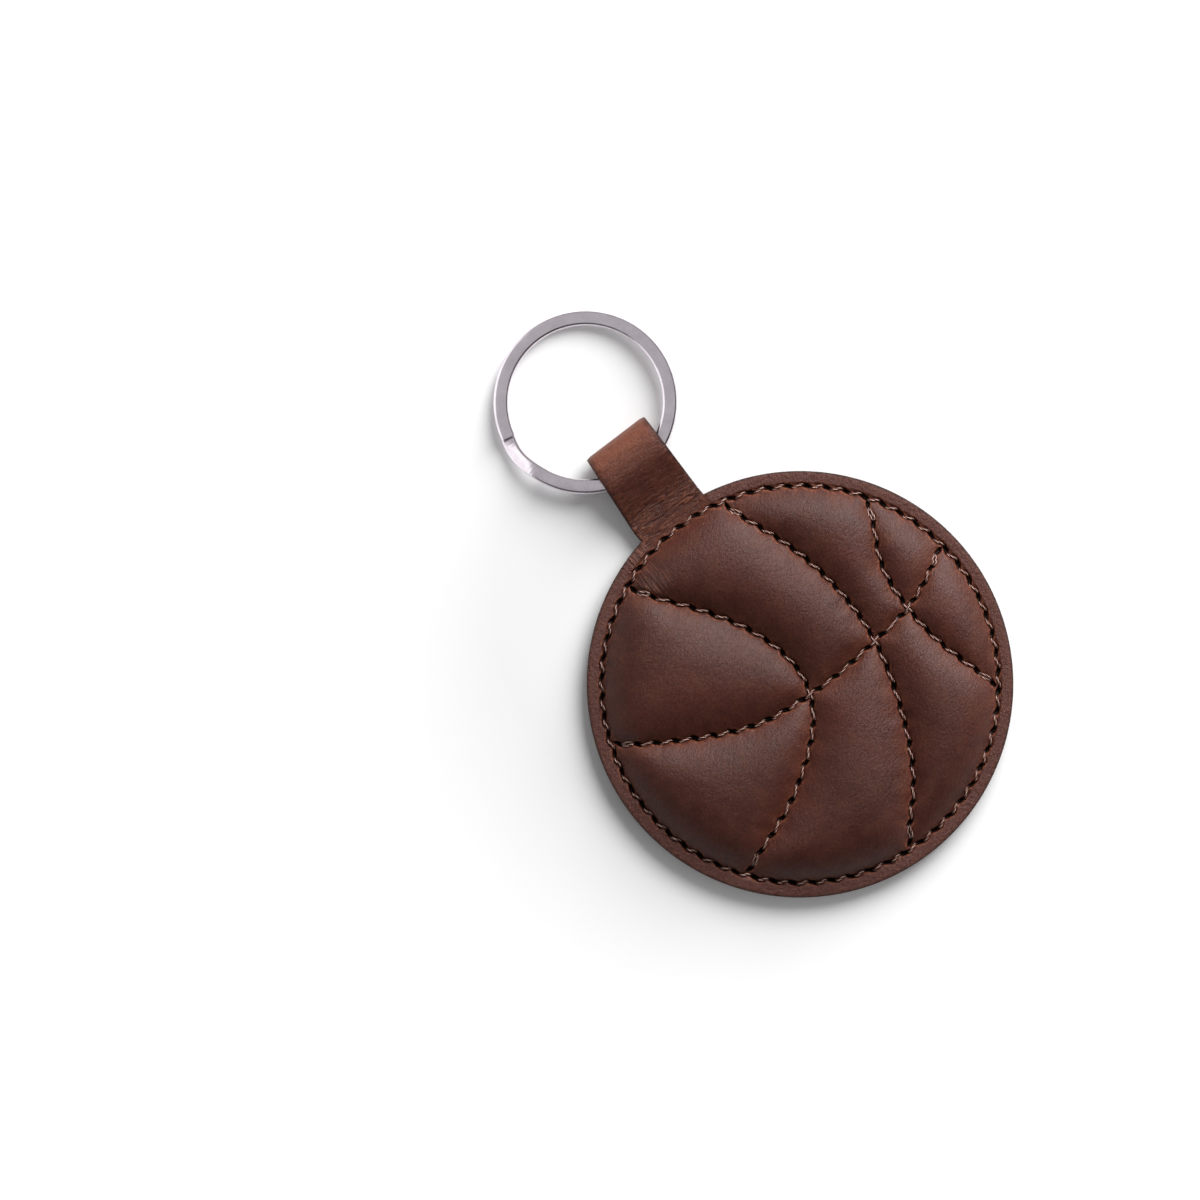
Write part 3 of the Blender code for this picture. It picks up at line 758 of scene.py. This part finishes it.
def foam_under(shape):
    """The foam sheet that fills the panels, shaped by the leather's flesh side."""
    foam = shape.copy()
    flat = foam.verts.layers.float_vector["flat"]
    side = foam.verts.layers.float["side"]
    inner = {corner for corner in foam.verts if corner[side] < 0.5 and hypot(*corner[flat][:2]) < FOAM_RADIUS}
    outside = [face for face in foam.faces if not inner.issuperset(face.verts)]
    bmesh.ops.delete(foam, geom=outside, context="FACES")
    bmesh.ops.reverse_faces(foam, faces=foam.faces)
    bmesh.ops.translate(foam, vec=(0, 0, -LAYER_GAP), verts=foam.verts)
    rim = [edge for edge in foam.edges if edge.is_boundary]
    for corner in corners_among(bmesh.ops.extrude_edge_only(foam, edges=rim)["geom"]):
        corner.co.z = FOAM_BOTTOM
    bmesh.ops.holes_fill(foam, edges=[edge for edge in foam.edges if edge.is_boundary])
    face_outward(foam)
    return foam


# Threads, back and ring


def grown(shape, end):
    """Extrudes a shape's end face, and returns the new end and its corners."""
    parts = bmesh.ops.extrude_face_region(shape, geom=end, use_keep_orig=len(shape.faces) == 1)["geom"]
    return [part for part in parts if isinstance(part, bmesh.types.BMFace)], corners_among(parts)


def straight_thread():
    """A thread from x = 0 to 1 with closed ends, and UVs for the shares of the way along and round it."""
    shape = bmesh.new()
    upright = Matrix.Rotation(pi / 2, 4, "Y")
    bmesh.ops.create_circle(shape, cap_ends=True, segments=THREAD_SIDES, radius=THREAD_RADIUS, matrix=upright)
    end = shape.faces[:]
    for _ in range(THREAD_STEPS):
        end, corners = grown(shape, end)
        bmesh.ops.translate(shape, vec=(1 / THREAD_STEPS, 0, 0), verts=corners)
    face_outward(shape)
    plies = shape.loops.layers.uv.new("plies")
    for face in shape.faces:
        middle = face.calc_center_median()
        facing = atan2(middle.z, middle.y)
        for loop in face.loops:
            turn = atan2(loop.vert.co.z, loop.vert.co.y)
            turn = facing + (turn - facing + pi) % (2 * pi) - pi
            loop[plies].uv = (loop.vert.co.x, turn / (2 * pi))
    mesh = bpy.data.meshes.new("thread")
    shape.to_mesh(mesh)
    shape.free()
    return mesh


THREAD_MESH = straight_thread()


def stitch_path(pitch, hole_length):
    """A stitch's middle, from inside one slot to inside the next, as (along, across, up)."""
    end = hole_length / 2 * cos(SLANT)
    aside = hole_length / 2 * sin(SLANT)
    down = ((0.45, 0.4 * aside, -0.85), (end - 0.2, aside, -0.4), (end + 0.25, aside * 0.75, -0.06))
    mirrored = [(pitch - along, -across, up) for along, across, up in reversed(down)]
    return curve_through((*down, (pitch / 2, 0, 0.03), *mirrored), SAMPLE_STEP)


def stitched(name, line, base=None, hop=0, facing=1):
    """A stitch from each hole of a line to the next, and a second one at a seam's two ends."""
    shape = bmesh.new()
    rng = np.random.default_rng(len(name))
    spans = [[start, end, 0, 0] for start, end in zip(line.holes, line.holes[1:])]
    if not line.closed:
        for span in (spans[0], spans[-1]):
            spans.append([*span[:2], SECOND_ASIDE, SECOND_RISE])
            span[2] = FIRST_ASIDE
    for start, end, aside, over in spans:
        path = stitch_path(end - start, line.hole_length)
        distances = distances_along(path)
        first = len(shape.verts)
        shape.from_mesh(THREAD_MESH)
        shape.verts.ensure_lookup_table()
        added = shape.verts[first:]
        far, side, top = (np.array([corner.co for corner in added]) * (distances[-1], 1, 1)).T
        spin = rng.uniform(0, 2 * pi)
        across = side * cos(spin) - top * sin(spin)
        up = side * sin(spin) + top * cos(spin)
        middle = read_at(far, distances, path)
        ahead, _, climb = read_at(far, distances, np.gradient(path, axis=0))
        slope = np.hypot(ahead, climb)
        crosses = any(start < crossing < end for crossing in line.crossings)
        lift = over + rng.uniform(*LIFT_PLAY) + (hop if crosses else 0)
        raised = eased((middle[2] + 0.8) / 0.6)
        bowed = aside * np.sin(pi * far / distances[-1])
        along = start + middle[0] - climb / slope * up
        x, y = line.place(along, middle[1] + across + bowed + rng.uniform(-SIDE_PLAY, SIDE_PLAY))
        height = middle[2] + ahead / slope * up + lift * raised
        z = (line.height(along) if base is None else base) + height * facing
        for corner, place in zip(added, zip(x, y, z)):
            corner.co = place
    if facing < 0:
        face_outward(shape)
    return shape


def back_leather():
    """The flat back cover, with a pressed groove for its stitches."""
    shape = bmesh.new()
    edge = EDGE_ROUND * (1 - sqrt(0.5))
    border = LEATHER + EDGE_PRESS - TOUCH_GAP
    profile = (
        (0, LEATHER),
        (PRESSED_FROM, LEATHER),
        (PRESSED_FROM + PRESSED_SLOPE, border),
        (DISC_RADIUS, border),
        (DISC_RADIUS, EDGE_ROUND),
        (DISC_RADIUS - edge, edge),
        (DISC_RADIUS - EDGE_ROUND, 0),
        *((STITCH_RADIUS + off, depth) for off, depth in GROOVE),
        *((STITCH_RADIUS - off, depth) for off, depth in reversed(GROOVE)),
        (STITCH_RADIUS - 3, 0),
        (0, 0),
    )
    corners = [shape.verts.new((radius, 0, height)) for radius, height in profile]
    for corner, following in zip(corners, corners[1:]):
        shape.edges.new((corner, following))
    parts, steps = shape.verts[:] + shape.edges[:], 12 * RIM_STITCHES
    bmesh.ops.spin(shape, geom=parts, axis=(0, 0, 1), angle=2 * pi, steps=steps, use_merge=True)
    bmesh.ops.remove_doubles(shape, verts=shape.verts, dist=SAMPLE_STEP / 10)
    face_outward(shape)
    places = vertex_places(shape)
    _, share = RIM.slots(*RIM.measure(places[:, :2]))
    lowered = (places[:, 2] < LEATHER / 2 + 0.1) * slot_cut(share)
    # The slots' share, which the leather's finish darkens to near black as painted shade
    layer = shape.verts.layers.float.new("hole")
    flat = shape.verts.layers.float_vector.new("flat")
    for corner, value in zip(shape.verts, lowered):
        corner.co.z += BACK_HOLE_DEPTH * value
        corner[layer] = value
        corner[flat] = corner.co
    for face in shape.faces:
        face.material_index = 1 if hypot(*face.calc_center_median()[:2]) > DISC_RADIUS - 0.2 else 0
    return shape


def split_coil():
    """Two close turns of flat wire, with rounded edges and slightly rounded cut ends."""
    shape = bmesh.new()
    quarter = np.linspace(0, pi / 2, 6)
    corners = []
    for turn in np.arange(4) * pi / 2:
        across = (WIRE_WIDTH / 2 - WIRE_CORNER) * np.sign(cos(turn + pi / 4))
        up = (WIRE_THICKNESS / 2 - WIRE_CORNER) * np.sign(sin(turn + pi / 4))
        for angle in quarter + turn:
            place = (across + WIRE_CORNER * cos(angle), 0, up + WIRE_CORNER * sin(angle))
            corners.append(shape.verts.new(place))
    end = [shape.faces.new(corners)]
    total = 4 * pi - CLIMB_ANGLE
    steps = round(total / RING_STEP)
    profile = vertex_places(shape)
    stations = [corners]
    for _ in range(steps):
        end, corners = grown(shape, end)
        stations.append(corners)
    shape.verts.index_update()
    order = {tuple(np.round(place, 6)): i for i, place in enumerate(profile)}
    for n, station in enumerate(stations):
        turned = total * n / steps
        angle = CUT_ANGLE - turned
        if n == 0 or n == steps:
            angle += (1 if n else -1) * RING_STEP * CUT_SHORTENING
        climbing = bell(turned - 2 * pi + CLIMB_ANGLE * 0.35, CLIMB_ANGLE * 0.45)
        rolled = CLIMB_ROLL * climbing
        level = (WIRE_THICKNESS + TURN_GAP) * (0.5 - eased((turned - 2 * pi + CLIMB_ANGLE) / CLIMB_ANGLE))
        shrink = CUT_SHRINK if n in (0, steps) else 1
        for corner in station:
            across, _, up = profile[order[tuple(np.round(corner.co, 6))]] * (0.5 + shrink / 2, 1, shrink)
            radius = WIRE_RADIUS + across * cos(rolled) + up * sin(rolled) + CLIMB_SHIFT * climbing
            height = level + up * cos(rolled) - across * sin(rolled)
            corner.co = (radius * cos(angle), radius * sin(angle) + SWING_ARM, height)
    face_outward(shape)
    bmesh.ops.rotate(shape, matrix=Matrix.Rotation(-RING_TILT, 3, "X"), verts=shape.verts)
    bmesh.ops.translate(shape, vec=(0, SWING_Y, SWING_Z), verts=shape.verts)
    return shape


def finished_piece(name, shape, surfaces, body=None):
    """Turns a shape in millimetres into a piece in metres, on a body of the frame."""
    bmesh.ops.scale(shape, vec=(MM, MM, MM), verts=shape.verts)
    mesh = bpy.data.meshes.new(name)
    shape.to_mesh(mesh)
    shape.free()
    for surface in surfaces:
        mesh.materials.append(surface)
    mesh.shade_smooth()
    mesh.set_sharp_from_angle(angle=radians(50))
    piece = new_object(name, mesh)
    if body:
        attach(piece, body)
    return piece


# Finishes


class Nodes:
    """A material's or a world's nodes, made and joined one at a time."""

    def __init__(self, owner, shader, **settings):
        self.owner = owner
        owner.use_nodes = True
        self.tree = owner.node_tree
        self.shader = self.tree.nodes[shader]
        self.dress(**settings)

    def dress(self, **settings):
        """Sets the shader's own sockets by name, and returns the material or world."""
        for socket, value in settings.items():
            self.set(self.shader.inputs[socket.replace("_", " ")], value)
        return self.owner

    def set(self, socket, value):
        """Joins a socket to another node's output, or gives it a plain value."""
        if isinstance(value, bpy.types.NodeSocket):
            self.tree.links.new(value, socket)
        elif isinstance(value, tuple) and len(value) == 3 and socket.type == "RGBA":
            socket.default_value = (*value, 1)
        else:
            socket.default_value = value

    def node(self, kind, inputs, output=0, **settings):
        """Adds a node with its settings and inputs, and returns one of its outputs."""
        made = self.tree.nodes.new("ShaderNode" + kind)
        for name, value in settings.items():
            setattr(made, name, value)
        for socket, value in inputs.items():
            self.set(made.inputs[socket], value)
        return made.outputs[output]

    def attribute(self, name, output="Fac"):
        return self.node("Attribute", {}, output, attribute_name=name)

    def object_places(self):
        return self.node("TexCoord", {}, "Object")

    def ray(self, kind):
        return self.node("LightPath", {}, f"Is {kind} Ray")

    def turned(self, places, angle, sizes):
        """Places measured along axes that are turned by an angle, in units of their own sizes."""
        turns = {"Vector": places, "Rotation": (0, 0, angle), "Scale": sizes}
        return self.node("Mapping", turns, vector_type="TEXTURE")

    def noise(self, places, scale, detail=2.0, roughness=0.5, distortion=0.0, output=0):
        names = ("Vector", "Scale", "Detail", "Roughness", "Distortion")
        return self.node("TexNoise", dict(zip(names, (places, scale, detail, roughness, distortion))), output)

    def cells(self, places, scale, **settings):
        return self.node("TexVoronoi", {"Vector": places, "Scale": scale}, "Distance", **settings)

    def spread(self, value, low=0.3, high=0.7, start=0.0, end=1.0):
        """A value's part from low to high, spread from start to end."""
        return self.node("MapRange", dict(enumerate((value, low, high, start, end))))

    def math(self, operation, first, second=0.0):
        return self.node("Math", {0: first, 1: second}, operation=operation)

    def times(self, first, second):
        return self.math("MULTIPLY", first, second)

    def most(self, value, *others):
        for other in others:
            value = self.math("MAXIMUM", value, other)
        return value

    def lean(self, direction, toward):
        """How far a direction leans toward another."""
        return self.node("VectorMath", {0: direction, 1: toward}, "Value", operation="DOT_PRODUCT")

    def mix(self, share, first, second, how="MIX"):
        return self.node("Mix", {0: share, 6: first, 7: second}, 2, data_type="RGBA", blend_type=how)

    def bumps(self, *layers):
        """Bumps laid over each other, each a pattern with its depth in millimetres."""
        under = {}
        for pattern, depth in layers:
            inputs = {"Strength": 1, "Distance": depth * MM, "Height": pattern, **under}
            under = {"Normal": self.node("Bump", inputs)}
        return under["Normal"]


def finish(name, **settings):
    """A new material of the plain kind."""
    return Nodes(bpy.data.materials.new(name), "Principled BSDF", **settings)


def grain_leather():
    """Waxed pull-up leather: mottled dark brown, orange where bent, pressed or scuffed, with painted shade in
    folds and slots.
    """
    made = finish("pull_up_leather", Specular_IOR_Level=0.33)
    mix, spread, times, grains = made.mix, made.spread, made.times, made.noise
    places = made.attribute("flat", "Vector")
    clouds = grains(places, 0.055, 3, 0.55)
    patches = grains(places, 0.3, 4, 0.6)
    grain = grains(places, 2.2, 4, 0.65)
    scuffs = grains(places, 1.5, 4, 0.7)
    fine = made.turned(places, 0.6, (1.6, 0.8, 1))
    warped = mix(0.9, fine, grains(fine, 1.3, output="Color"), "ADD")
    cracks = spread(made.cells(warped, 0.9, feature="DISTANCE_TO_EDGE"), 0.0, 0.1)
    across = made.node("Mapping", {"Vector": places, "Scale": (0.36, 1.5, 1)})
    folds = grains(across, 1.0, 3.0, distortion=1.1)
    tucks = grains(made.turned(places, radians(-88), (4.5, 0.36, 1)), 1.0, 3.0, distortion=0.7)
    colour = mix(spread(clouds, 0.38, 0.64), (0.071, 0.0178, 0.0122), (0.106, 0.0275, 0.0188))
    colour = mix(spread(patches, 0.42, 0.75, 0, 0.6), colour, (0.13, 0.04, 0.018))
    colour = mix(spread(grain, 0.3, 0.7, 0.5, 0), colour, (0.032, 0.01, 0.007))
    colour = mix(spread(cracks, 0.7, 0, 0, 0.35), colour, (0.03, 0.01, 0.007))
    for area, share, tint in (
        ("pressed", spread(patches, 0.35, 0.7, 0.1, 0.6), (0.15, 0.045, 0.026)),
        ("border", spread(scuffs, 0.3, 0.7, 0.3, 0.95), (0.122, 0.045, 0.035)),
        ("pulled", spread(patches, 0.2, 0.8, 0.6, 0.9), (0.25, 0.078, 0.042)),
        ("wrinkled", spread(folds, 0.46, 0.66), (0.16, 0.05, 0.024)),
        # Painted shade: the wrinkles' hollows darkened where their bumps sink
        ("wrinkled", spread(folds, 0.42, 0.3), (0.03, 0.01, 0.007)),
        # Painted shade: the creases across the tab's root darkened as deep as they sink
        ("crease", 0.4, (0.05, 0.017, 0.011)),
        ("gathered", spread(tucks, 0.48, 0.62, 0, 0.9), (0.25, 0.1, 0.065)),
        # Painted shade: the hollows between the small tucks darkened where their bumps sink
        ("gathered", spread(tucks, 0.47, 0.36, 0, 0.5), (0.04, 0.013, 0.009)),
        ("worn", spread(scuffs, 0.42, 0.58, 0.05, 0.9), (0.27, 0.09, 0.048)),
        ("burnished", 0.8, (0.02, 0.008, 0.007)),
    ):
        colour = mix(times(made.attribute(area), share), colour, tint)
    # Painted shade: the needle slots darkened to near black, as the shade inside them
    colour = mix(spread(made.attribute("hole"), 0.1, 0.7), colour, (0.01, 0.004, 0.003))
    bumps = made.bumps(
        (spread(made.cells(places, 3.4), 0.0, 0.5), 0.015),
        (grains(fine, 1.6, 5, 0.7), 0.14),
        (times(scuffs, made.attribute("border")), 0.3),
        (grain, 0.08),
        (cracks, 0.018),
        (times(folds, made.attribute("wrinkled")), 0.65),
        (times(tucks, made.attribute("gathered")), 0.5),
    )
    return made.dress(Base_Color=colour, Roughness=spread(patches, 0.3, 0.7, 0.4, 0.5), Normal=bumps)


def speckled(name, noise_kind, dark, light, depth, roughness, sheen):
    """A material whose noise goes from dark to light as it stands up by a depth in millimetres."""
    made = finish(name, Roughness=roughness, Specular_IOR_Level=sheen)
    specks = made.noise(made.object_places(), *noise_kind)
    colour = made.mix(made.spread(specks), dark, light)
    return made.dress(Base_Color=colour, Normal=made.bumps((specks, depth)))


def waxed_thread():
    """Three plies laid round each other: pale ridges, thread tan and painted highlight, and painted shade
    between and at the ends.
    """
    made = finish("waxed_thread", Roughness=0.35, Specular_IOR_Level=0.45)
    shares = made.node("UVMap", {}, uv_map="plies")
    along, turn = (made.node("SeparateXYZ", {0: shares}, axis) for axis in "XY")
    lag = made.math("SUBTRACT", turn, made.times(along, PITCH / TWIST))
    ridge = made.math("COSINE", made.times(lag, 6 * pi))
    fibres = made.noise(made.object_places(), 2600, 3, 0.6)
    light = made.mix(made.spread(fibres), (0.4, 0.225, 0.185), (0.7, 0.46, 0.4))
    # Pale ply ridges, partly the thread's tan and partly painted highlight, over painted shade in the grooves
    # between
    colour = made.mix(made.spread(ridge, -0.4, 0.7), (0.09, 0.037, 0.027), light)
    inside = made.math("ABSOLUTE", made.math("SUBTRACT", along, 0.5))
    # Painted shade where the thread's ends dive into the slots
    colour = made.mix(made.spread(inside, 0.2, 0.34), colour, (0.02, 0.008, 0.006))
    return made.dress(Base_Color=colour, Normal=made.bumps((ridge, 0.06), (fibres, 0.02)))


def open_foam():
    made = finish("open_foam", Roughness=0.95, Specular_IOR_Level=0.2)
    cells = made.cells(made.object_places(), 1400)
    colour = made.mix(made.spread(cells, 0, 0.6), (0.07, 0.07, 0.068), (0.26, 0.26, 0.25))
    return made.dress(Base_Color=colour, Normal=made.bumps((cells, 0.2)))


def nickel():
    """Polished nickel plate, faintly brushed by the tumbling that polished it."""
    made = finish("nickel_plate", Metallic=1.0)
    smears = made.noise(made.object_places(), 260, 3, 0.6)
    scratches = made.noise(made.object_places(), 1700, 3, 0.6)
    colour = made.mix(made.spread(smears), (0.74, 0.67, 0.73), (0.86, 0.8, 0.85))
    roughness = made.spread(scratches, 0.3, 0.7, 0.16, 0.26)
    return made.dress(Base_Color=colour, Roughness=roughness, Normal=made.bumps((scratches, 0.0012)))


def refinish(node, surface):
    node.data.materials.clear()
    node.data.materials.append(surface)


# Pieces

# The leather's face, its dark burnished edge and its suede underside
grain = grain_leather()
edge = speckled("burnished_edge", (900, 3, 0.6), (0.028, 0.011, 0.008), (0.09, 0.034, 0.021), 0.05, 0.6, 0.3)
flesh = speckled("flesh_side", (1800, 4, 0.7), (0.11, 0.055, 0.038), (0.2, 0.11, 0.078), 0.08, 0.95, 0.2)
# Pressed leather-fibre board, as bag and wallet makers use
board = speckled("bonded_lining", (1500, 5, 0.7), (0.02, 0.013, 0.01), (0.05, 0.032, 0.024), 0.05, 0.9, 0.25)
thread = waxed_thread()
steel = nickel()
refinish(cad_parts["lining"], board)
for node_name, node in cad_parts.items():
    if node_name.endswith("seam_bobbin_thread"):
        refinish(node, thread)

cover_shape, foam_shape = front_leather()
cover = finished_piece("front_leather", cover_shape, [grain, edge, flesh])
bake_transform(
    cover,
    "fob",
    "tab",
    start=(0, (FLEX_Y - 1.5) * MM, FLEX_Z * MM),
    end=(0, (FLEX_Y + 2.2) * MM, FLEX_Z * MM),
)
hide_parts("front_cover", "tab_loop", "tab_tail")

foam = finished_piece("foam_sheet", foam_shape, [open_foam()], "fob")
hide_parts("padding")

back = finished_piece("back_leather", back_leather(), [grain, edge], "fob")
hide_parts("back_cover")

rim_stitches = finished_piece("rim_stitches", stitched("rim", RIM), [thread], "fob")
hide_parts("rim_thread")
for name, line in SEAMS.items():
    hop = CROSSING_HOP if name == "cross" else 0
    stitches = finished_piece(f"{name}_stitches", stitched(name, line, hop=hop), [thread], "fob")
    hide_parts(f"{name}_seam_thread")
back_shape = stitched("back", RIM, BACK_THREAD_HEIGHT, facing=-1)
back_stitches = finished_piece("back_stitches", back_shape, [thread], "fob")
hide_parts("rim_bobbin_thread")

coil = finished_piece("split_coil", split_coil(), [steel], "ring")
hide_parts("split_ring")


# Stage: camera, lamps and floor, all set in the photograph's directions

PHOTO_TURN = radians(37.3)
VIEW_MIDDLE = (-19.0, 33.1)
VIEW_WIDTH = 211.5
CAMERA_HEIGHT = 1400
FLOOR_SIZE = 3000
# Painted glow of the floor, as its strength near the object and far off, and the distances in millimetres
# over which it grows
FLOOR_GLOW = 0.07
FAR_GLOW = 0.6
GLOW_MIDDLE = 20
GLOW_FROM = 42
GLOW_TO = 120
WORLD_BASE = 0.05
WORLD_LEFT = 0.03
WORLD_TOP = 0.03


def from_photo(right, up, height):
    """A place given right of and above the picture's middle, in millimetres, and above the floor."""
    x = VIEW_MIDDLE[0] + right * cos(PHOTO_TURN) + up * sin(PHOTO_TURN)
    y = VIEW_MIDDLE[1] - right * sin(PHOTO_TURN) + up * cos(PHOTO_TURN)
    return Vector((x, y, height)) * MM


def add_camera():
    data = bpy.data.cameras.new("camera")
    data.lens = data.sensor_width * CAMERA_HEIGHT / VIEW_WIDTH
    data.clip_start = 0.05
    data.clip_end = 20
    camera = new_object("camera", data)
    camera.location = from_photo(0, 0, CAMERA_HEIGHT)
    camera.rotation_euler = (0, 0, -PHOTO_TURN)
    scene.camera = camera


def add_softbox(name, place, aim, size, power, only=(), spared=()):
    """An oval softbox of a width and height, which may shine only on some pieces, or spare some."""
    data = bpy.data.lights.new(name, "AREA")
    data.shape = "ELLIPSE"
    data.size, data.size_y = size[0] * MM, size[1] * MM
    data.energy = power
    lamp = new_object(name, data)
    lamp.location = from_photo(*place)
    lamp.rotation_euler = (from_photo(*aim) - lamp.location).to_track_quat("-Z", "Y").to_euler()
    lamp.visible_camera = False
    if only or spared:
        linked = bpy.data.collections.new(name)
        for piece in (*only, *spared):
            linked.objects.link(piece)
        for link in linked.collection_objects:
            link.light_linking.link_state = "EXCLUDE" if spared else "INCLUDE"
        lamp.light_linking.receiver_collection = linked


def floor_finish():
    """White paper that shows pure white where the object throws no shadow, and far from the lamps, through a
    painted glow that grows away from the object.
    """
    made = finish("white_floor", Roughness=0.9, Specular_IOR_Level=0)
    shift = {0: made.object_places(), 1: (0, -GLOW_MIDDLE * MM, 0)}
    places = made.node("VectorMath", shift, operation="ADD")
    away = made.node("VectorMath", {0: places}, "Value", operation="LENGTH")
    glow = made.spread(away, GLOW_FROM * MM, GLOW_TO * MM, FLOOR_GLOW, FAR_GLOW)
    seen = made.most(made.ray("Camera"), made.ray("Glossy"), made.ray("Transmission"))
    return made.dress(
        Base_Color=(0.92, 0.92, 0.92), Emission_Color=(1, 1, 1), Emission_Strength=made.times(seen, glow)
    )


def add_floor():
    shape = bmesh.new()
    bmesh.ops.create_grid(shape, x_segments=1, y_segments=1, size=FLOOR_SIZE)
    floor = finished_piece("floor", shape, [floor_finish()])


def set_world():
    """Light from all round, most from above and from the left; camera and metal see a pale room."""
    scene.world = bpy.data.worlds.new("studio")
    made = Nodes(scene.world, "Background", Color=(1, 1, 1))
    direction = made.node("TexCoord", {}, "Generated")
    leftward = made.lean(direction, (-cos(PHOTO_TURN), sin(PHOTO_TURN), 0))
    upward = made.lean(direction, (0, 0, 1))
    level = made.math("ADD", made.times(leftward, WORLD_LEFT), made.times(upward, WORLD_TOP))
    level = made.math("ADD", level, WORLD_BASE)
    walls = made.times(made.spread(upward, 0.55, 0.25), made.spread(leftward, -1, 1, 0.0, 0.6))
    metal = made.times(made.ray("Glossy"), walls)
    made.dress(Strength=made.most(level, made.ray("Camera"), made.ray("Transmission"), metal))


add_camera()
add_floor()
set_world()
add_softbox("key", (290, 460, 390), (30, -15, 0), (480, 700), 7.1, spared=[coil])
add_softbox("top_card", (10, 335, 350), (10, 335, 0), (700, 700), 0.5)
add_softbox("left_card", (-600, 80, 400), (-20, 30, 0), (1200, 850), 2.8, only=[coil])
scene.view_settings.view_transform = "Standard"
